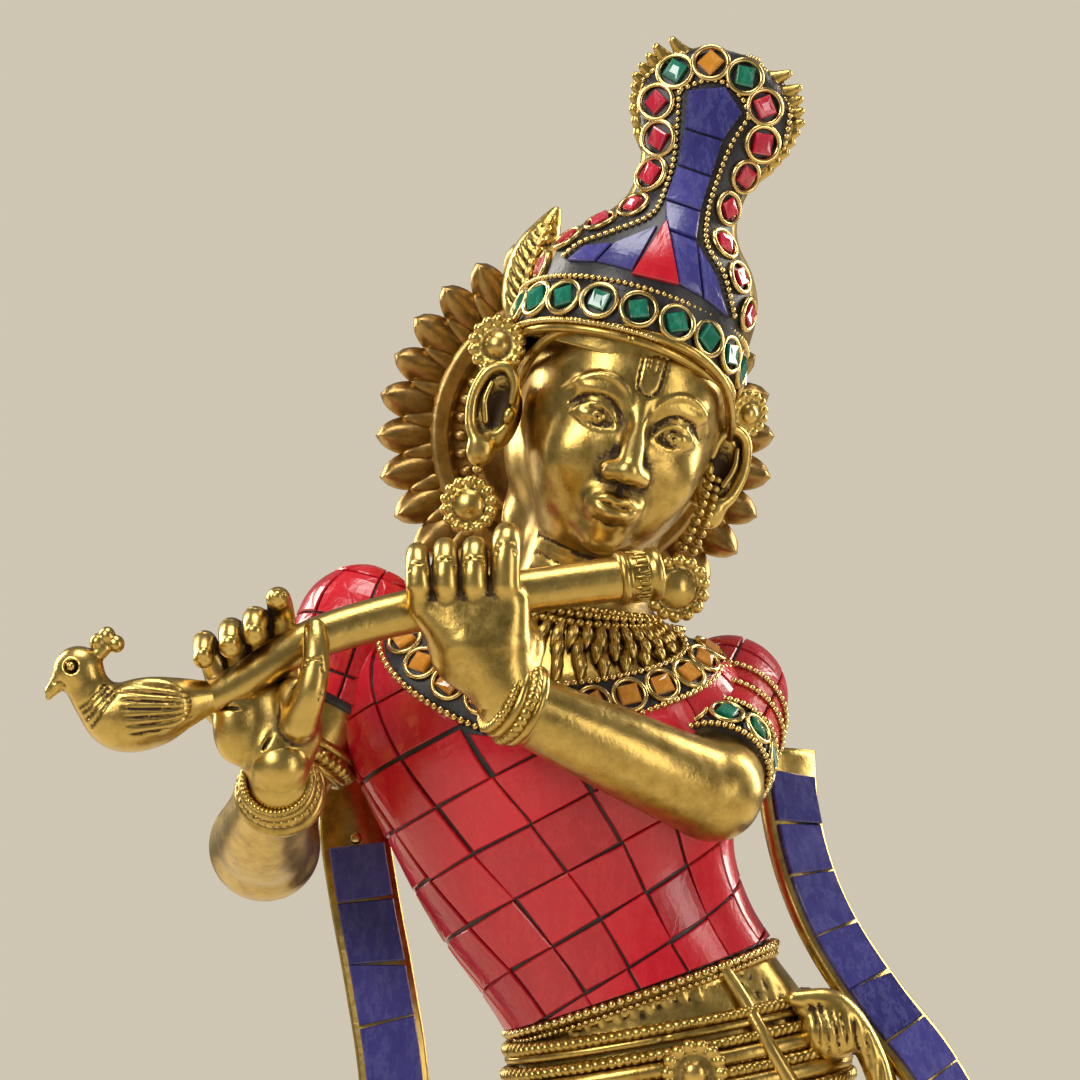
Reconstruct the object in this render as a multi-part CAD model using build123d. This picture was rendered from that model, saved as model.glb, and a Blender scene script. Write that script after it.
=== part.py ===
"""Standing flute player: a brass figure with stone inlay, in millimetres.

The origin is the middle of the pedestal's resting face. +Z is up, the figure looks along -Y,
and +X is the figure's own left. Every casting, stone group, wire and screw is its own node.
"""

from build123d import *
import math
import os

# ---------------------------------------------------------------- driving dimensions
PEDESTAL_R = 50.0          # radius of the pedestal's foot
PEDESTAL_H = 30.0          # height of the pedestal
PEDESTAL_WALL = 3.0        # wall of the hollow pedestal
STUD_R = 3.0               # studs that hold the figure to the pedestal
STUD_CLEARANCE = 0.4       # round the stud in the pedestal's top plate
LAC = 0.9                  # thickness of the black lac bed
TILE = 1.3                 # thickness of a stone tile
TILE_BEDDING = 0.4         # how deep a tile sits in the lac
TILE_W, TILE_L = 7.9, 9.2  # red vest tiles, across and along
JOINT_GAP = 0.5            # black line between two tiles
TILE_TURN = 15.0           # degrees that the vest's grid is turned against the torso
RING_R, RING_WIRE = 2.55, 0.42    # bezel rings, middle of the wire and its radius
CHIP = 2.7                 # side of a cut stone in a bezel
BEAD_R = 0.52              # beads of the border wires
BEAD_PITCH = 1.12

# ---------------------------------------------------------------- the figure's skeleton
HEAD_AT = (1.7, -1.0, 300.0)
HEAD_TILT, HEAD_YAW = 16.0, 9.0   # degrees: towards +X, and turned towards +X
SHOULDER_R, ELBOW_R, WRIST_R = (-40.0, 0.0, 266.0), (-55.0, -6.0, 232.0), (-50.3, -38.0, 243.0)
SHOULDER_L, ELBOW_L, WRIST_L = (21.0, 7.0, 257.5), (19.0, -17.0, 240.5), (-15.5, -35.0, 255.0)

# Torso rings from the hips to the top of the neck: (x, y, z), half width, half depth, turn about Y.
TORSO = [
    ((6.6, 1.0, 206.5), 21.4, 14.6, -17.5),
    ((1.2, 0.0, 215.0), 21.2, 14.0, -16.0),
    ((-4.0, -1.0, 225.0), 23.2, 14.8, -13.0),
    ((-7.6, -2.0, 238.0), 27.2, 17.0, -7.0),
    ((-10.5, -2.0, 250.0), 31.0, 18.6, -1.0),
    ((-10.6, -1.0, 259.0), 31.5, 17.4, 4.0),
    ((-8.6, 1.0, 266.0), 25.5, 13.6, 8.0),
    ((-5.6, 1.0, 271.0), 13.0, 10.2, 9.0),
    ((-3.2, 0.5, 276.0), 9.6, 9.0, 11.0),
    ((-1.6, 0.0, 284.0), 9.0, 8.8, 14.0),
]
VEST_LOW, VEST_HIGH = 0.35, 5.7    # ring numbers between which the vest runs
NECKLINE, NECKLINE_RISE = 4.25, 1.5   # ring number of the scooped neckline in front, and its rise

FLUTE = [
    (7.5, -24.0, 275.5), (-5.7, -27.0, 273.8), (-22.1, -31.0, 271.4), (-36.1, -35.0, 268.6),
    (-47.5, -38.8, 264.9), (-57.0, -41.4, 259.2), (-62.5, -42.8, 256.4),
]
FLUTE_R = 3.4
BIRD_BODY, BIRD_HEAD = (-71.5, -44.5, 255.2), (-82.0, -46.0, 260.6)

HALO_AT, HALO_YAW, HALO_R = (-4.6, 23.4, 298.0), 5.0, 24.0
HALO_PETALS, PETAL_L, PETAL_W = 30, 7.6, 5.6

# Scarf centre lines, from the elbow crook to the pedestal: (x, y, z), turn of the strip about its line.
SCARF_R = [
    (-40.0, 12.0, 246.0), (-41.2, 9.0, 236.0), (-39.6, 7.0, 224.0), (-37.0, 5.0, 210.0),
    (-34.6, 3.0, 194.0), (-33.6, 2.0, 172.0), (-35.0, 1.0, 145.0), (-38.5, 0.0, 112.0),
    (-40.5, 0.0, 78.0), (-38.0, 0.0, 48.0), (-35.5, 0.0, 30.0),
]
SCARF_L = [
    (28.4, 11.0, 247.0), (29.0, 9.0, 238.0), (31.2, 6.0, 228.0), (35.4, 3.0, 218.0),
    (42.6, 0.0, 207.0), (51.4, -2.0, 195.5), (58.6, -2.0, 180.0), (60.6, -1.0, 158.0),
    (57.0, 0.0, 128.0), (50.0, 0.0, 92.0), (43.0, 0.0, 56.0), (38.5, 0.0, 30.0),
]
SCARF_WIDTH, SCARF_T = 11.0, 2.6


# ---------------------------------------------------------------- small vector helpers
def add(a, b, k=1.0):
    return tuple(p + q * k for p, q in zip(a, b))


def sub(a, b):
    return tuple(p - q for p, q in zip(a, b))


def unit(a):
    size = math.sqrt(sum(p * p for p in a))
    return tuple(p / size for p in a)


def cross(a, b):
    return (a[1] * b[2] - a[2] * b[1], a[2] * b[0] - a[0] * b[2], a[0] * b[1] - a[1] * b[0])


def mix(a, b, t):
    return tuple(p + (q - p) * t for p, q in zip(a, b))


# ---------------------------------------------------------------- solids used again and again
def ring_loft(rings):
    """A closed solid through elliptical rings: (centre, half width, half depth, turn about Y)."""
    faces = []
    for centre, wide, deep, turn in rings:
        a = math.radians(turn)
        plane = Plane(centre, x_dir=(math.cos(a), 0, -math.sin(a)), z_dir=(math.sin(a), 0, math.cos(a)))
        faces.append(plane * Ellipse(wide, deep))
    return loft(faces)


def limb(points, radii, squash=1.0, side=(0, 1, 0)):
    """A closed solid through round or oval rings square to a line of points."""
    faces = []
    for i, (point, radius) in enumerate(zip(points, radii)):
        along = unit(sub(points[min(i + 1, len(points) - 1)], points[max(i - 1, 0)]))
        across = unit(cross(cross(along, side), along))
        faces.append(Plane(point, x_dir=across, z_dir=along) * Ellipse(radius * squash, radius))
    return loft(faces)


def egg(centre, radii, turn=(0, 0, 0)):
    """An ellipsoid."""
    return Pos(*centre) * Rot(*turn) * scale(Sphere(1), by=radii)


def seat(point, normal, spin=0.0, up=(0, 0, 1)):
    """A place on a surface: +Z along the normal, +X level, then turned by spin degrees."""
    level = cross(up, normal)
    if sum(p * p for p in level) < 1e-6:
        level = (1, 0, 0)
    return Plane(point, x_dir=unit(level), z_dir=normal).location * Rot(0, 0, spin)


def bezel(place, radius=RING_R):
    """A ring of wire pressed into the lac."""
    return place * Torus(radius, RING_WIRE)


def chip(place, side=CHIP, spin=0.0):
    """A cut stone in the middle of a bezel, with its four top edges bevelled."""
    stone = Pos(0, 0, 0.1) * Box(side, side, 1.3)
    stone = chamfer(stone.faces().sort_by(Axis.Z)[-1].edges(), 0.3)
    return place * Rot(0, 0, spin) * stone


def beads(points, radius=BEAD_R):
    """Beads in a row, each a little sphere."""
    return [Pos(*p) * Sphere(radius) for p in points]


def spread(points, pitch):
    """Points evenly spaced along a run of straight stretches."""
    lengths = [math.dist(a, b) for a, b in zip(points, points[1:])]
    count = max(1, round(sum(lengths) / pitch))
    placed = []
    for i in range(count + 1):
        along = sum(lengths) * i / count
        for a, b, size in zip(points, points[1:], lengths):
            if along <= size or b is points[-1]:
                placed.append(mix(a, b, min(1.0, along / size)))
                break
            along -= size
    return placed


# ---------------------------------------------------------------- the torso's surface
def torso_ring(t):
    """The torso's centre, half width, half depth and turn at ring number t, between rings too."""
    i = min(int(t), len(TORSO) - 2)
    low, high, k = TORSO[i], TORSO[i + 1], t - i
    values = [mix(low[0], high[0], k)] + [low[n] + (high[n] - low[n]) * k for n in (1, 2, 3)]
    return values


def on_torso(t, angle, proud=0.0):
    """A point of the torso and its outward normal. Angle 0 is the front, 90 the figure's left."""
    centre, wide, deep, turn = torso_ring(t)
    a, r = math.radians(angle), math.radians(turn)
    right, up = (math.cos(r), 0, -math.sin(r)), (math.sin(r), 0, math.cos(r))
    point = add(add(centre, right, wide * math.sin(a)), (0, 1, 0), -deep * math.cos(a))
    normal = unit(add(tuple(math.sin(a) / wide * p for p in right), (0, 1, 0), -math.cos(a) / deep))
    _, wide_up, _, _ = torso_ring(min(t + 0.3, len(TORSO) - 1))
    _, wide_down, _, _ = torso_ring(max(t - 0.3, 0))
    lean = (wide_down - wide_up) / 7.0 * abs(math.sin(a))
    normal = unit(add(normal, up, lean))
    return add(point, normal, proud), normal


def torso_height(t):
    """Distance along the torso's line from ring 0 to ring number t."""
    whole = int(t)
    line = [r[0] for r in TORSO]
    height = sum(math.dist(a, b) for a, b in zip(line[:whole], line[1:whole + 1]))
    return height + (math.dist(line[whole], line[whole + 1]) * (t - whole) if t > whole else 0.0)


def torso_t(height):
    """The ring number at a distance along the torso's line."""
    t = 0.0
    while torso_height(t) < height and t < len(TORSO) - 1.05:
        t += 0.05
    return t


# ---------------------------------------------------------------- pedestal and its fixings
def pedestal():
    """Round lotus pedestal, hollow underneath, with a waist between two rows of petals."""
    outline = [
        (0, PEDESTAL_H), (PEDESTAL_R - 7, PEDESTAL_H), (PEDESTAL_R - 4, PEDESTAL_H - 2),
        (PEDESTAL_R - 3, PEDESTAL_H - 8), (PEDESTAL_R - 9, PEDESTAL_H - 13),
        (PEDESTAL_R - 9, PEDESTAL_H - 16), (PEDESTAL_R - 3, 7), (PEDESTAL_R, 5), (PEDESTAL_R, 0),
        (PEDESTAL_R - 5, 0), (PEDESTAL_R - 14, 12), (PEDESTAL_R - 14, PEDESTAL_H - 5), (0, PEDESTAL_H - 5),
    ]
    body = revolve(Plane.XZ * make_face(Polyline(*outline, close=True)), Axis.Z)
    for x, y in STUDS:
        body -= Pos(x, y, PEDESTAL_H) * Cylinder(STUD_R + STUD_CLEARANCE, 20)
    return body


def petal_rows():
    """The petals of both rows, pointing up above the waist and down below it."""
    rows = []
    for count, height, lift in ((20, PEDESTAL_H - 6.5, 38), (24, 8.5, -42)):
        for i in range(count):
            turn = 360 * i / count
            petal = egg((0, 0, 0), (1.8, 5.6, 6.8))
            rows.append(Rot(0, 0, turn) * Pos(PEDESTAL_R - 4.2, 0, height) * Rot(0, lift * 0.4, 0) * petal)
    return rows


STUDS = [(2.0, 4.0), (15.0, -9.0)]   # one under each foot


def foot_studs():
    return [Pos(x, y, PEDESTAL_H - 1) * Cylinder(STUD_R, 26) for x, y in STUDS]


def foot_washers():
    ring = Cylinder(6, 1.2) - Cylinder(STUD_R + 0.2, 2)
    return [Pos(x, y, PEDESTAL_H - 5.6) * ring for x, y in STUDS]


def foot_nuts():
    nut = extrude(RegularPolygon(5.5, 6), 4.8) - Cylinder(STUD_R, 12)
    return [Pos(x, y, PEDESTAL_H - 11.0) * nut for x, y in STUDS]


# ---------------------------------------------------------------- the figure
def legs():
    """Hips and the two crossed legs in a wrapped cloth, with the feet: one casting."""
    hips = ring_loft([
        ((5.6, 2.0, 150.0), 26.0, 15.0, -4.0), ((8.5, 2.0, 168.0), 27.0, 17.0, -9.0),
        ((11.0, 2.0, 185.0), 27.5, 18.0, -13.0), ((11.0, 1.6, 196.0), 26.0, 17.0, -15.0),
        ((6.9, 1.0, 205.9), 21.2, 14.4, -17.5),
    ])
    standing = limb(
        [(17, 3, 178), (18, 3, 150), (15, 3, 118), (10, 4, 88), (4, 5, 58), (2, 5, 40), (2, 4, 34)],
        [13.5, 14.5, 13.0, 11.5, 8.4, 6.6, 6.4])
    crossed = limb(
        [(-4, 1, 176), (-7, -4, 148), (-8, -9, 122), (-3, -10, 92), (8, -10, 62), (14, -10, 44), (15, -10, 36)],
        [12.5, 13.5, 12.0, 11.0, 8.0, 6.2, 6.0])
    standing_foot = limb([(1, 9, 33.6), (-1, 2, 34.6), (-4, -8, 34.2), (-6.5, -16, 33.0), (-7.5, -19, 32.0)],
                         [3.4, 5.2, 5.0, 4.0, 1.6], squash=0.7, side=(1, 0, 0))
    crossed_foot = limb([(15, -6, 41), (15.6, -11, 37.5), (18, -19, 34.0), (20.5, -26, 32.8), (21.5, -29, 31.6)],
                        [3.6, 4.8, 4.4, 3.6, 1.4], squash=0.7, side=(1, 0, 0))
    body = hips + standing + crossed + standing_foot + crossed_foot
    body &= Pos(0, 0, PEDESTAL_H + 150) * Box(300, 300, 300)
    for x, y in STUDS:
        body -= Pos(x, y, PEDESTAL_H) * Cylinder(STUD_R, 24)
    return body


def front_sash():
    """The pleated cloth end that hangs in front of the legs."""
    return ring_loft([
        ((10.0, -17.5, 62.0), 12.0, 2.4, -8.0), ((6.5, -21.0, 85.0), 9.5, 2.6, -6.0),
        ((4.0, -22.6, 115.0), 8.0, 2.8, -4.0), ((5.0, -21.5, 145.0), 6.6, 2.6, -6.0),
        ((8.0, -19.8, 172.0), 5.2, 2.6, -10.0), ((9.4, -18.0, 190.0), 4.2, 2.4, -14.0),
    ])


def torso():
    """Chest, waist and neck in one casting."""
    return ring_loft(TORSO)


def vest_lac():
    """The black lac that covers the chest, back and waist and holds the tiles."""
    rings = []
    for t in (0.3, 1, 2, 3, 4, 5, 5.6):
        centre, wide, deep, turn = torso_ring(t)
        rings.append((centre, wide + LAC, deep + LAC, turn))
    return ring_loft(rings)


def vest_tiles():
    """Rows of red tiles round the torso, on a grid turned a little against it."""
    turn = math.radians(TILE_TURN)
    tiles = []
    for row in range(-14, 15):
        for column in range(-14, 15):
            across, along = column * (TILE_W + JOINT_GAP), row * (TILE_L + JOINT_GAP)
            u = across * math.cos(turn) - along * math.sin(turn)
            v = across * math.sin(turn) + along * math.cos(turn) + torso_height(3)
            if not torso_height(VEST_LOW) + 3 < v < torso_height(VEST_HIGH) - 3:
                continue
            t = torso_t(v)
            _, wide, deep, _ = torso_ring(t)
            girth = math.pi * (wide + deep) + 2 * math.pi * LAC
            angle = 360 * u / girth
            if abs(angle) > 176:
                continue
            if t > 3.4 and 60 < abs(angle) < 120:
                continue
            if t > neckline(angle) - 0.75:
                continue
            place, normal = on_torso(t, angle, LAC + TILE / 2 - TILE_BEDDING)
            tiles.append(seat(place, normal, TILE_TURN) * Box(TILE_W, TILE_L, TILE))
    return tiles


def neckline(angle):
    """Ring number of the neckline at an angle round the torso: low in front, high at the back."""
    return min(NECKLINE + NECKLINE_RISE * (min(abs(angle), 66) / 66) ** 1.5, 5.75)


def collar_line(proud, below=0.0, step=11):
    """Places along the neckline, from the figure's right shoulder to its left."""
    return [on_torso(neckline(a) - below, a, proud) for a in range(-66, 67, step)]


def collar_lac():
    """The black band of the neckline over the chest and the shoulders."""
    return [seat(p, n, 0.55 * a) * Box(9.0, 6.8, 1.5) for a, (p, n) in zip(range(66, -67, -11), collar_line(1.6))]


def collar_rings():
    return [bezel(seat(p, n)) for p, n in collar_line(2.3)]


def collar_chips():
    return [chip(seat(p, n), spin=20) for p, n in collar_line(2.3)]


def collar_beads():
    return beads(spread([p for p, _ in collar_line(1.6, 0.42, 3)], BEAD_PITCH))


def necklace():
    """The broad pectoral inside the neckline, with the pendant in its middle."""
    pieces = [seat(*on_torso(neckline(a) + 0.75, a, 0.8)) * Box(7.0, 6.4, 1.8) for a in range(-54, 55, 18)]
    pieces.append(seat(*on_torso(neckline(0) + 0.1, 0, 2.6)) * Box(7.5, 9.0, 1.8))
    return pieces


def hem_beads():
    return beads(spread([on_torso(0.22, a, 1.0)[0] for a in range(-180, 181, 6)], BEAD_PITCH * 1.2), 0.62)


# ---------------------------------------------------------------- arms, hands and flute
def right_arm():
    upper = limb([SHOULDER_R, (-46, -2, 252), (-51, -4, 242), ELBOW_R], [8.6, 7.4, 6.8, 7.2])
    fore = limb([ELBOW_R, (-54, -16, 234.6), (-52.2, -27, 238.8), WRIST_R], [7.2, 6.9, 5.8, 4.9])
    return upper + Pos(*ELBOW_R) * Sphere(7.7) + fore - torso()


def left_arm():
    upper = limb([SHOULDER_L, (20.6, -3, 250), ELBOW_L], [8.8, 8.0, 7.4])
    fore = limb([ELBOW_L, (7, -25, 244.6), (-6, -31, 250.2), WRIST_L], [7.4, 7.0, 5.9, 5.0])
    return upper + Pos(*ELBOW_L) * Sphere(7.7) + fore - torso()


def bangle(wrist, towards, radius):
    """A bangle of three rings soldered side by side round a wrist."""
    along = unit(sub(towards, wrist))
    parts = [seat(add(wrist, along, k * 1.5), along) * (Cylinder(radius + w, 1.6) - Cylinder(radius - 1.0, 3))
             for k, w in ((-1, 0.5), (0, 1.1), (1, 0.6))]
    return parts[0] + parts[1] + parts[2]


def right_hand():
    """Palm towards the front under the flute, three fingers over it and one raised."""
    palm = limb([WRIST_R, (-50.6, -39.5, 248.5), (-51.6, -40.5, 254.5), (-52.5, -38.0, 259.5)],
                [4.7, 6.4, 7.8, 6.6], squash=0.62, side=(1, 0, 0))
    fingers = [limb([(x, -36, z - 5), (x, -34.5, z + 1), (x - 0.3, -38, z + 4.4), (x - 0.5, -43, z + 3.2), (x - 0.5, -45, z)],
                    [1.9, 2.0, 2.0, 1.9, 1.4]) for x, z in ((-60.6, 258.8), (-56.8, 260.4), (-53.2, 261.8))]
    raised = limb([(-49.8, -36, 258), (-49.8, -36.5, 264), (-50.6, -41, 269.4), (-50.8, -43, 270.4)], [2.0, 2.1, 2.0, 1.2])
    thumb = limb([(-48, -41, 250), (-45.6, -43.5, 256), (-44.8, -43.6, 262), (-44.6, -42.6, 265.5)], [3.4, 3.3, 2.4, 1.6])
    body = palm
    for part in (*fingers, raised, thumb):
        body += part
    return body


def left_hand():
    """Back of the hand towards the front, four fingers bent over the flute."""
    palm = limb([WRIST_L, (-18.5, -37.0, 260.0), (-21.4, -38.4, 267.0), (-22.2, -37.4, 272.8), (-22.2, -36.4, 275.0)],
                [4.6, 6.2, 8.0, 8.2, 7.0], squash=0.45, side=(1, 0, 0))
    fingers = [limb([(x, -36.6, z - 5), (x, -35.6, z), (x, -31.5, z + 2.0), (x, -27.4, z - 0.8)], [2.0, 2.1, 1.9, 1.2])
               for x, z in ((-28.6, 275.2), (-24.6, 276.4), (-20.6, 276.8), (-16.6, 277.2))]
    body = palm
    for part in fingers:
        body += part
    return body


def flute():
    """The bent tube, closed at the lip end, with three finger holes in its front."""
    tube = limb(FLUTE, [FLUTE_R, FLUTE_R, FLUTE_R, FLUTE_R, FLUTE_R, FLUTE_R - 0.5, FLUTE_R - 1.0])
    for x in (-1.0, -6.5, -12.0):
        tube -= Pos(x, -29.5, 274.0) * Rot(90, 0, 0) * Cylinder(0.8, 4)
    return tube


def flute_ferrule():
    along = unit(sub(FLUTE[0], FLUTE[1]))
    end = seat(add(FLUTE[0], along, -1.0), along)
    return end * (Cylinder(FLUTE_R + 1.1, 5.0) - Pos(0, 0, -1.2) * Cylinder(FLUTE_R + 0.05, 5.0))


def flute_bird():
    """The bird that closes the far end: neck spigot, round body, head, beak and crest."""
    body = limb([(-62.5, -42.8, 256.4), (-67, -43.6, 255.8), BIRD_BODY, (-76.5, -45.3, 253.8), (-80.6, -46, 256.4), BIRD_HEAD],
                [2.6, 4.2, 5.8, 5.6, 4.4, 3.6])
    head = egg(BIRD_HEAD, (4.2, 3.6, 3.8))
    beak = limb([BIRD_HEAD, (-85.2, -46.6, 258.8), (-86.6, -46.8, 256.8)], [2.6, 1.4, 0.5])
    crest = limb([add(BIRD_HEAD, (1.2, 0, 2)), (-79.6, -46, 264.6), (-78.6, -46, 266.4)], [1.3, 1.4, 2.2])
    return body + head + beak + crest


# ---------------------------------------------------------------- head, crown and halo
HEAD = Pos(*HEAD_AT) * Rot(0, HEAD_TILT, 0) * Rot(0, 0, HEAD_YAW)


def head():
    """Skull and face as an egg, a plain nose, and hair drawn back to the nape."""
    skull = egg((0, 1.5, 2.0), (16.2, 17.2, 20.0))
    jaw = egg((0, -3.0, -8.5), (12.4, 13.4, 14.4))
    nose = limb([(0, -16.0, 3.0), (0, -18.4, -3.0), (0, -18.6, -5.6)], [1.2, 2.1, 1.6])
    return HEAD * (skull + jaw + nose) - torso()


def ear(side):
    return HEAD * Pos(side * 17.4, 1.0, -6.0) * Rot(0, side * 8, side * 30) * egg((0, 0, 0), (1.9, 4.4, 8.6))


def ear_drum(side, at, radius):
    """A round ear ornament with its face turned forwards."""
    return HEAD * Pos(*at) * Rot(90, 0, side * 22) * (Cylinder(radius, 3.4) + Pos(0, 0, 1.6) * Sphere(radius * 0.6))


def crown_cap():
    """The turban-shaped cap, which rises to the neck of the crest."""
    cap = loft([
        Pos(0, 0.6, 12.4) * Rot(-15, 0, 0) * Ellipse(18.2, 19.4), Pos(0, 0.4, 19.0) * Rot(-10, 0, 0) * Ellipse(17.6, 18.4),
        Pos(-0.2, 0.2, 26.0) * Rot(-4, 0, 0) * Ellipse(13.6, 13.6), Pos(-0.4, 0, 32.0) * Ellipse(9.4, 8.4),
        Pos(-0.4, 0, 38.0) * Ellipse(7.6, 4.6),
    ])
    skull = egg((0, 1.5, 2.0), (16.2, 17.2, 20.0))
    return HEAD * (cap - skull)


def crown_band():
    """The black band of the crown's rim, which holds the green stones."""
    outer = Pos(0, 0.6, 13.4) * Rot(-15.5, 0, 0)
    band = loft([Pos(0, 0, -3.2) * Ellipse(19.3, 20.5), Pos(0, 0, 3.2) * Ellipse(18.9, 20.0)])
    hole = loft([Pos(0, 0, -3.3) * Ellipse(18.0, 19.2), Pos(0, 0, 3.3) * Ellipse(17.7, 18.8)])
    return HEAD * outer * (band - hole)


def crown_band_places():
    """Seats of the stones round the crown's rim."""
    places = []
    for i in range(19):
        a = 2 * math.pi * i / 19
        point, normal = (19.2 * math.sin(a), -20.4 * math.cos(a), 0), unit((math.sin(a) / 19.2, -math.cos(a) / 20.4, 0))
        places.append(HEAD * Pos(0, 0.6, 13.4) * Rot(-15.5, 0, 0) * seat(point, normal))
    return places


def crest_outline(grow=0.0):
    """Front outline of the crest, as half widths at heights up the crown."""
    return [(7.2 + grow, 33.5), (7.6 + grow, 38.0), (9.2 + grow, 43.0), (12.6 + grow, 49.0),
            (12.4 + grow, 54.0), (8.6 + grow, 60.0), (2.0, 62.6 + grow)]


def crest_plate(grow, front, back):
    half = crest_outline(grow)
    points = half + [(-x, z) for x, z in reversed(half)]
    face = Plane.XZ * make_face(Polyline(*[(x, z) for x, z in points], close=True))
    plate = extrude(face, front - back)
    return HEAD * Pos(-0.6, -back, 0) * plate


def crest():
    """The brass plate behind the crest, whose ribbed edge shows round the lac."""
    return crest_plate(0.8, 1.6, -2.4) - crown_cap()


def crest_lac():
    return crest_plate(-0.6, 3.2, 1.6) - crown_cap()


CREST_STONES = {
    "red": [(-9.2, 52.0), (-6.6, 45.2), (-6.2, 38.6), (9.4, 49.2), (8.0, 42.4)],
    "green": [(-5.8, 57.6), (7.4, 55.0)],
    "amber": [(1.2, 58.6)],
}
CREST_FRONT = -3.3


def crest_places(colour):
    return [HEAD * Pos(x, CREST_FRONT, z) * Rot(90, 0, 0) for x, z in CREST_STONES[colour]]


CAP_STONES = [(-40, 28.0), (-62, 24.5), (-84, 21.5), (40, 28.0), (62, 24.5), (84, 21.5)]


def cap_places():
    """Seats of the red stones down both sides of the cap."""
    places = []
    for angle, z in CAP_STONES:
        a = math.radians(angle)
        r = 14.6 - (z - 25.0) * 1.1
        places.append(HEAD * seat((r * math.sin(a), -r * math.cos(a), z), unit((math.sin(a), -math.cos(a), 0.75))))
    return places


def crest_tiles():
    """The blue strip up the crest and the blue wings at its foot."""
    sizes = [(5.0, 7.2, 52.6), (4.6, 6.2, 45.4), (5.0, 6.6, 38.4)]
    strip = [HEAD * Pos(-0.4, CREST_FRONT, z) * Box(w, 1.2, h) for w, h, z in sizes]
    wings = [HEAD * Pos(side * 5.6, -12.4, 26.6) * Rot(34, 0, -side * 18) * Box(7.0, 1.2, 5.0) for side in (-1, 1)]
    return strip + wings


def crest_triangle():
    face = Plane.XZ * make_face(Polyline((-3.0, 0), (3.0, 0), (0, 8.4), close=True))
    return HEAD * Pos(-0.4, -15.4, 21.6) * Rot(-42, 0, 0) * extrude(face, 1.2)


def crown_beads():
    """The beaded wires along the rim and up both sides of the blue strip."""
    rim = [HEAD * Pos(0, 0.6, 13.4) * Rot(-15.5, 0, 0) * Pos(19.3 * math.sin(a / 60 * math.tau), -20.5 * math.cos(a / 60 * math.tau), 3.4)
           for a in range(100)]
    sides = [HEAD * Pos(side * 3.5 - 0.4, CREST_FRONT, z) for side in (-1, 1)
             for z in [36.0 + BEAD_PITCH * i for i in range(17)]]
    return [place * Sphere(BEAD_R) for place in rim + sides]


def crown_leaf():
    """The upright feather leaf at the right side of the cap."""
    leaf = egg((0, 0, 0), (5.0, 1.2, 8.6))
    return HEAD * Pos(-18.6, 7.0, 22.6) * Rot(0, -8, 62) * leaf


def halo():
    """Round plate behind the head with a raised rim and a ring of pointed petals."""
    place = Pos(*HALO_AT) * Rot(0, 0, HALO_YAW) * Rot(90, 0, 0)
    plate = Cylinder(HALO_R, 2.4)
    plate += Pos(0, 0, 1.2) * (Cylinder(HALO_R - 0.8, 1.6) - Cylinder(HALO_R - 3.0, 4))
    tip = HALO_R + PETAL_L
    for i in range(HALO_PETALS):
        outline = [(HALO_R - 1.4, -PETAL_W * 0.4), (HALO_R + PETAL_L * 0.45, -PETAL_W * 0.42), (tip, 0),
                   (HALO_R + PETAL_L * 0.45, PETAL_W * 0.42), (HALO_R - 1.4, PETAL_W * 0.4)]
        petal = extrude(make_face(Polyline(*outline, close=True)), 1.5, both=True)
        plate += Rot(0, 0, 360 * i / HALO_PETALS) * petal
    plate -= Pos(0, 0, -3) * Cylinder(1.6, 20)
    return place * plate - head() - crown_cap() - crown_band() - torso()


def halo_screw():
    """The screw that holds the halo to the back of the head, its slotted head behind."""
    place = Pos(*HALO_AT) * Rot(0, 0, HALO_YAW) * Rot(90, 0, 0)
    screw = Pos(0, 0, 2.6) * Cylinder(1.5, 9.0) + Pos(0, 0, -2.4) * Cylinder(3.2, 2.0)
    screw -= Pos(0, 0, -3.2) * Box(0.8, 8, 1.0)
    return place * screw


# ---------------------------------------------------------------- scarves
def strip(line, width, thick, first=0):
    """A bent strip along a line, its wide face towards the front."""
    faces = []
    for i in range(first, len(line)):
        along = unit(sub(line[min(i + 1, len(line) - 1)], line[max(i - 1, first)]))
        across = unit(cross(along, (0, -1, 0)))
        faces.append(Plane(line[i], x_dir=across, z_dir=along) * Rectangle(width, thick))
    return loft(faces, ruled=True)


def scarf_tiles(line, lift=SCARF_T / 2 + 0.4):
    """Blue tiles one under the other down the front of a scarf."""
    places = spread(line, TILE_L + JOINT_GAP)
    tiles = []
    for a, b in zip(places, places[1:]):
        along = unit(sub(b, a))
        across = unit(cross(along, (0, -1, 0)))
        front = unit(cross(along, across))
        front = front if front[1] < 0 else tuple(-p for p in front)
        middle = add(mix(a, b, 0.5), front, lift)
        tiles.append(Plane(middle, x_dir=across, z_dir=front).location
                     * Box(SCARF_WIDTH - 1.6, math.dist(a, b) - JOINT_GAP, 1.1))
    return tiles


# ---------------------------------------------------------------- sleeves and belt
def sleeve_places(centre, axis, radius, count, start, rows):
    """Seats round a shoulder: rows of (height along the arm, share of the radius)."""
    side = unit(cross(axis, (0, 1, 0)))
    front = unit(cross(axis, side))
    places = []
    for height, share in rows:
        for i in range(count):
            a = math.radians(start + 360 * i / count)
            out = add(tuple(p * math.cos(a) for p in side), front, math.sin(a))
            point = add(add(centre, axis, height), out, radius * share)
            places.append((point, unit(add(out, axis, -0.5 * (1 - share) * 2))))
    return places


AXIS_R = unit(sub(ELBOW_R, SHOULDER_R))
AXIS_L = unit(sub(ELBOW_L, SHOULDER_L))


def sleeve_lac(centre, axis, radius, length):
    """The lac round a shoulder and the top of the arm."""
    line = [add(centre, axis, k * length) for k in (-0.62, -0.5, -0.2, 0.25, 0.6, 0.85)]
    return limb(line, [radius * s for s in (0.35, 0.72, 0.98, 1.0, 0.95, 0.92)])


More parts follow.
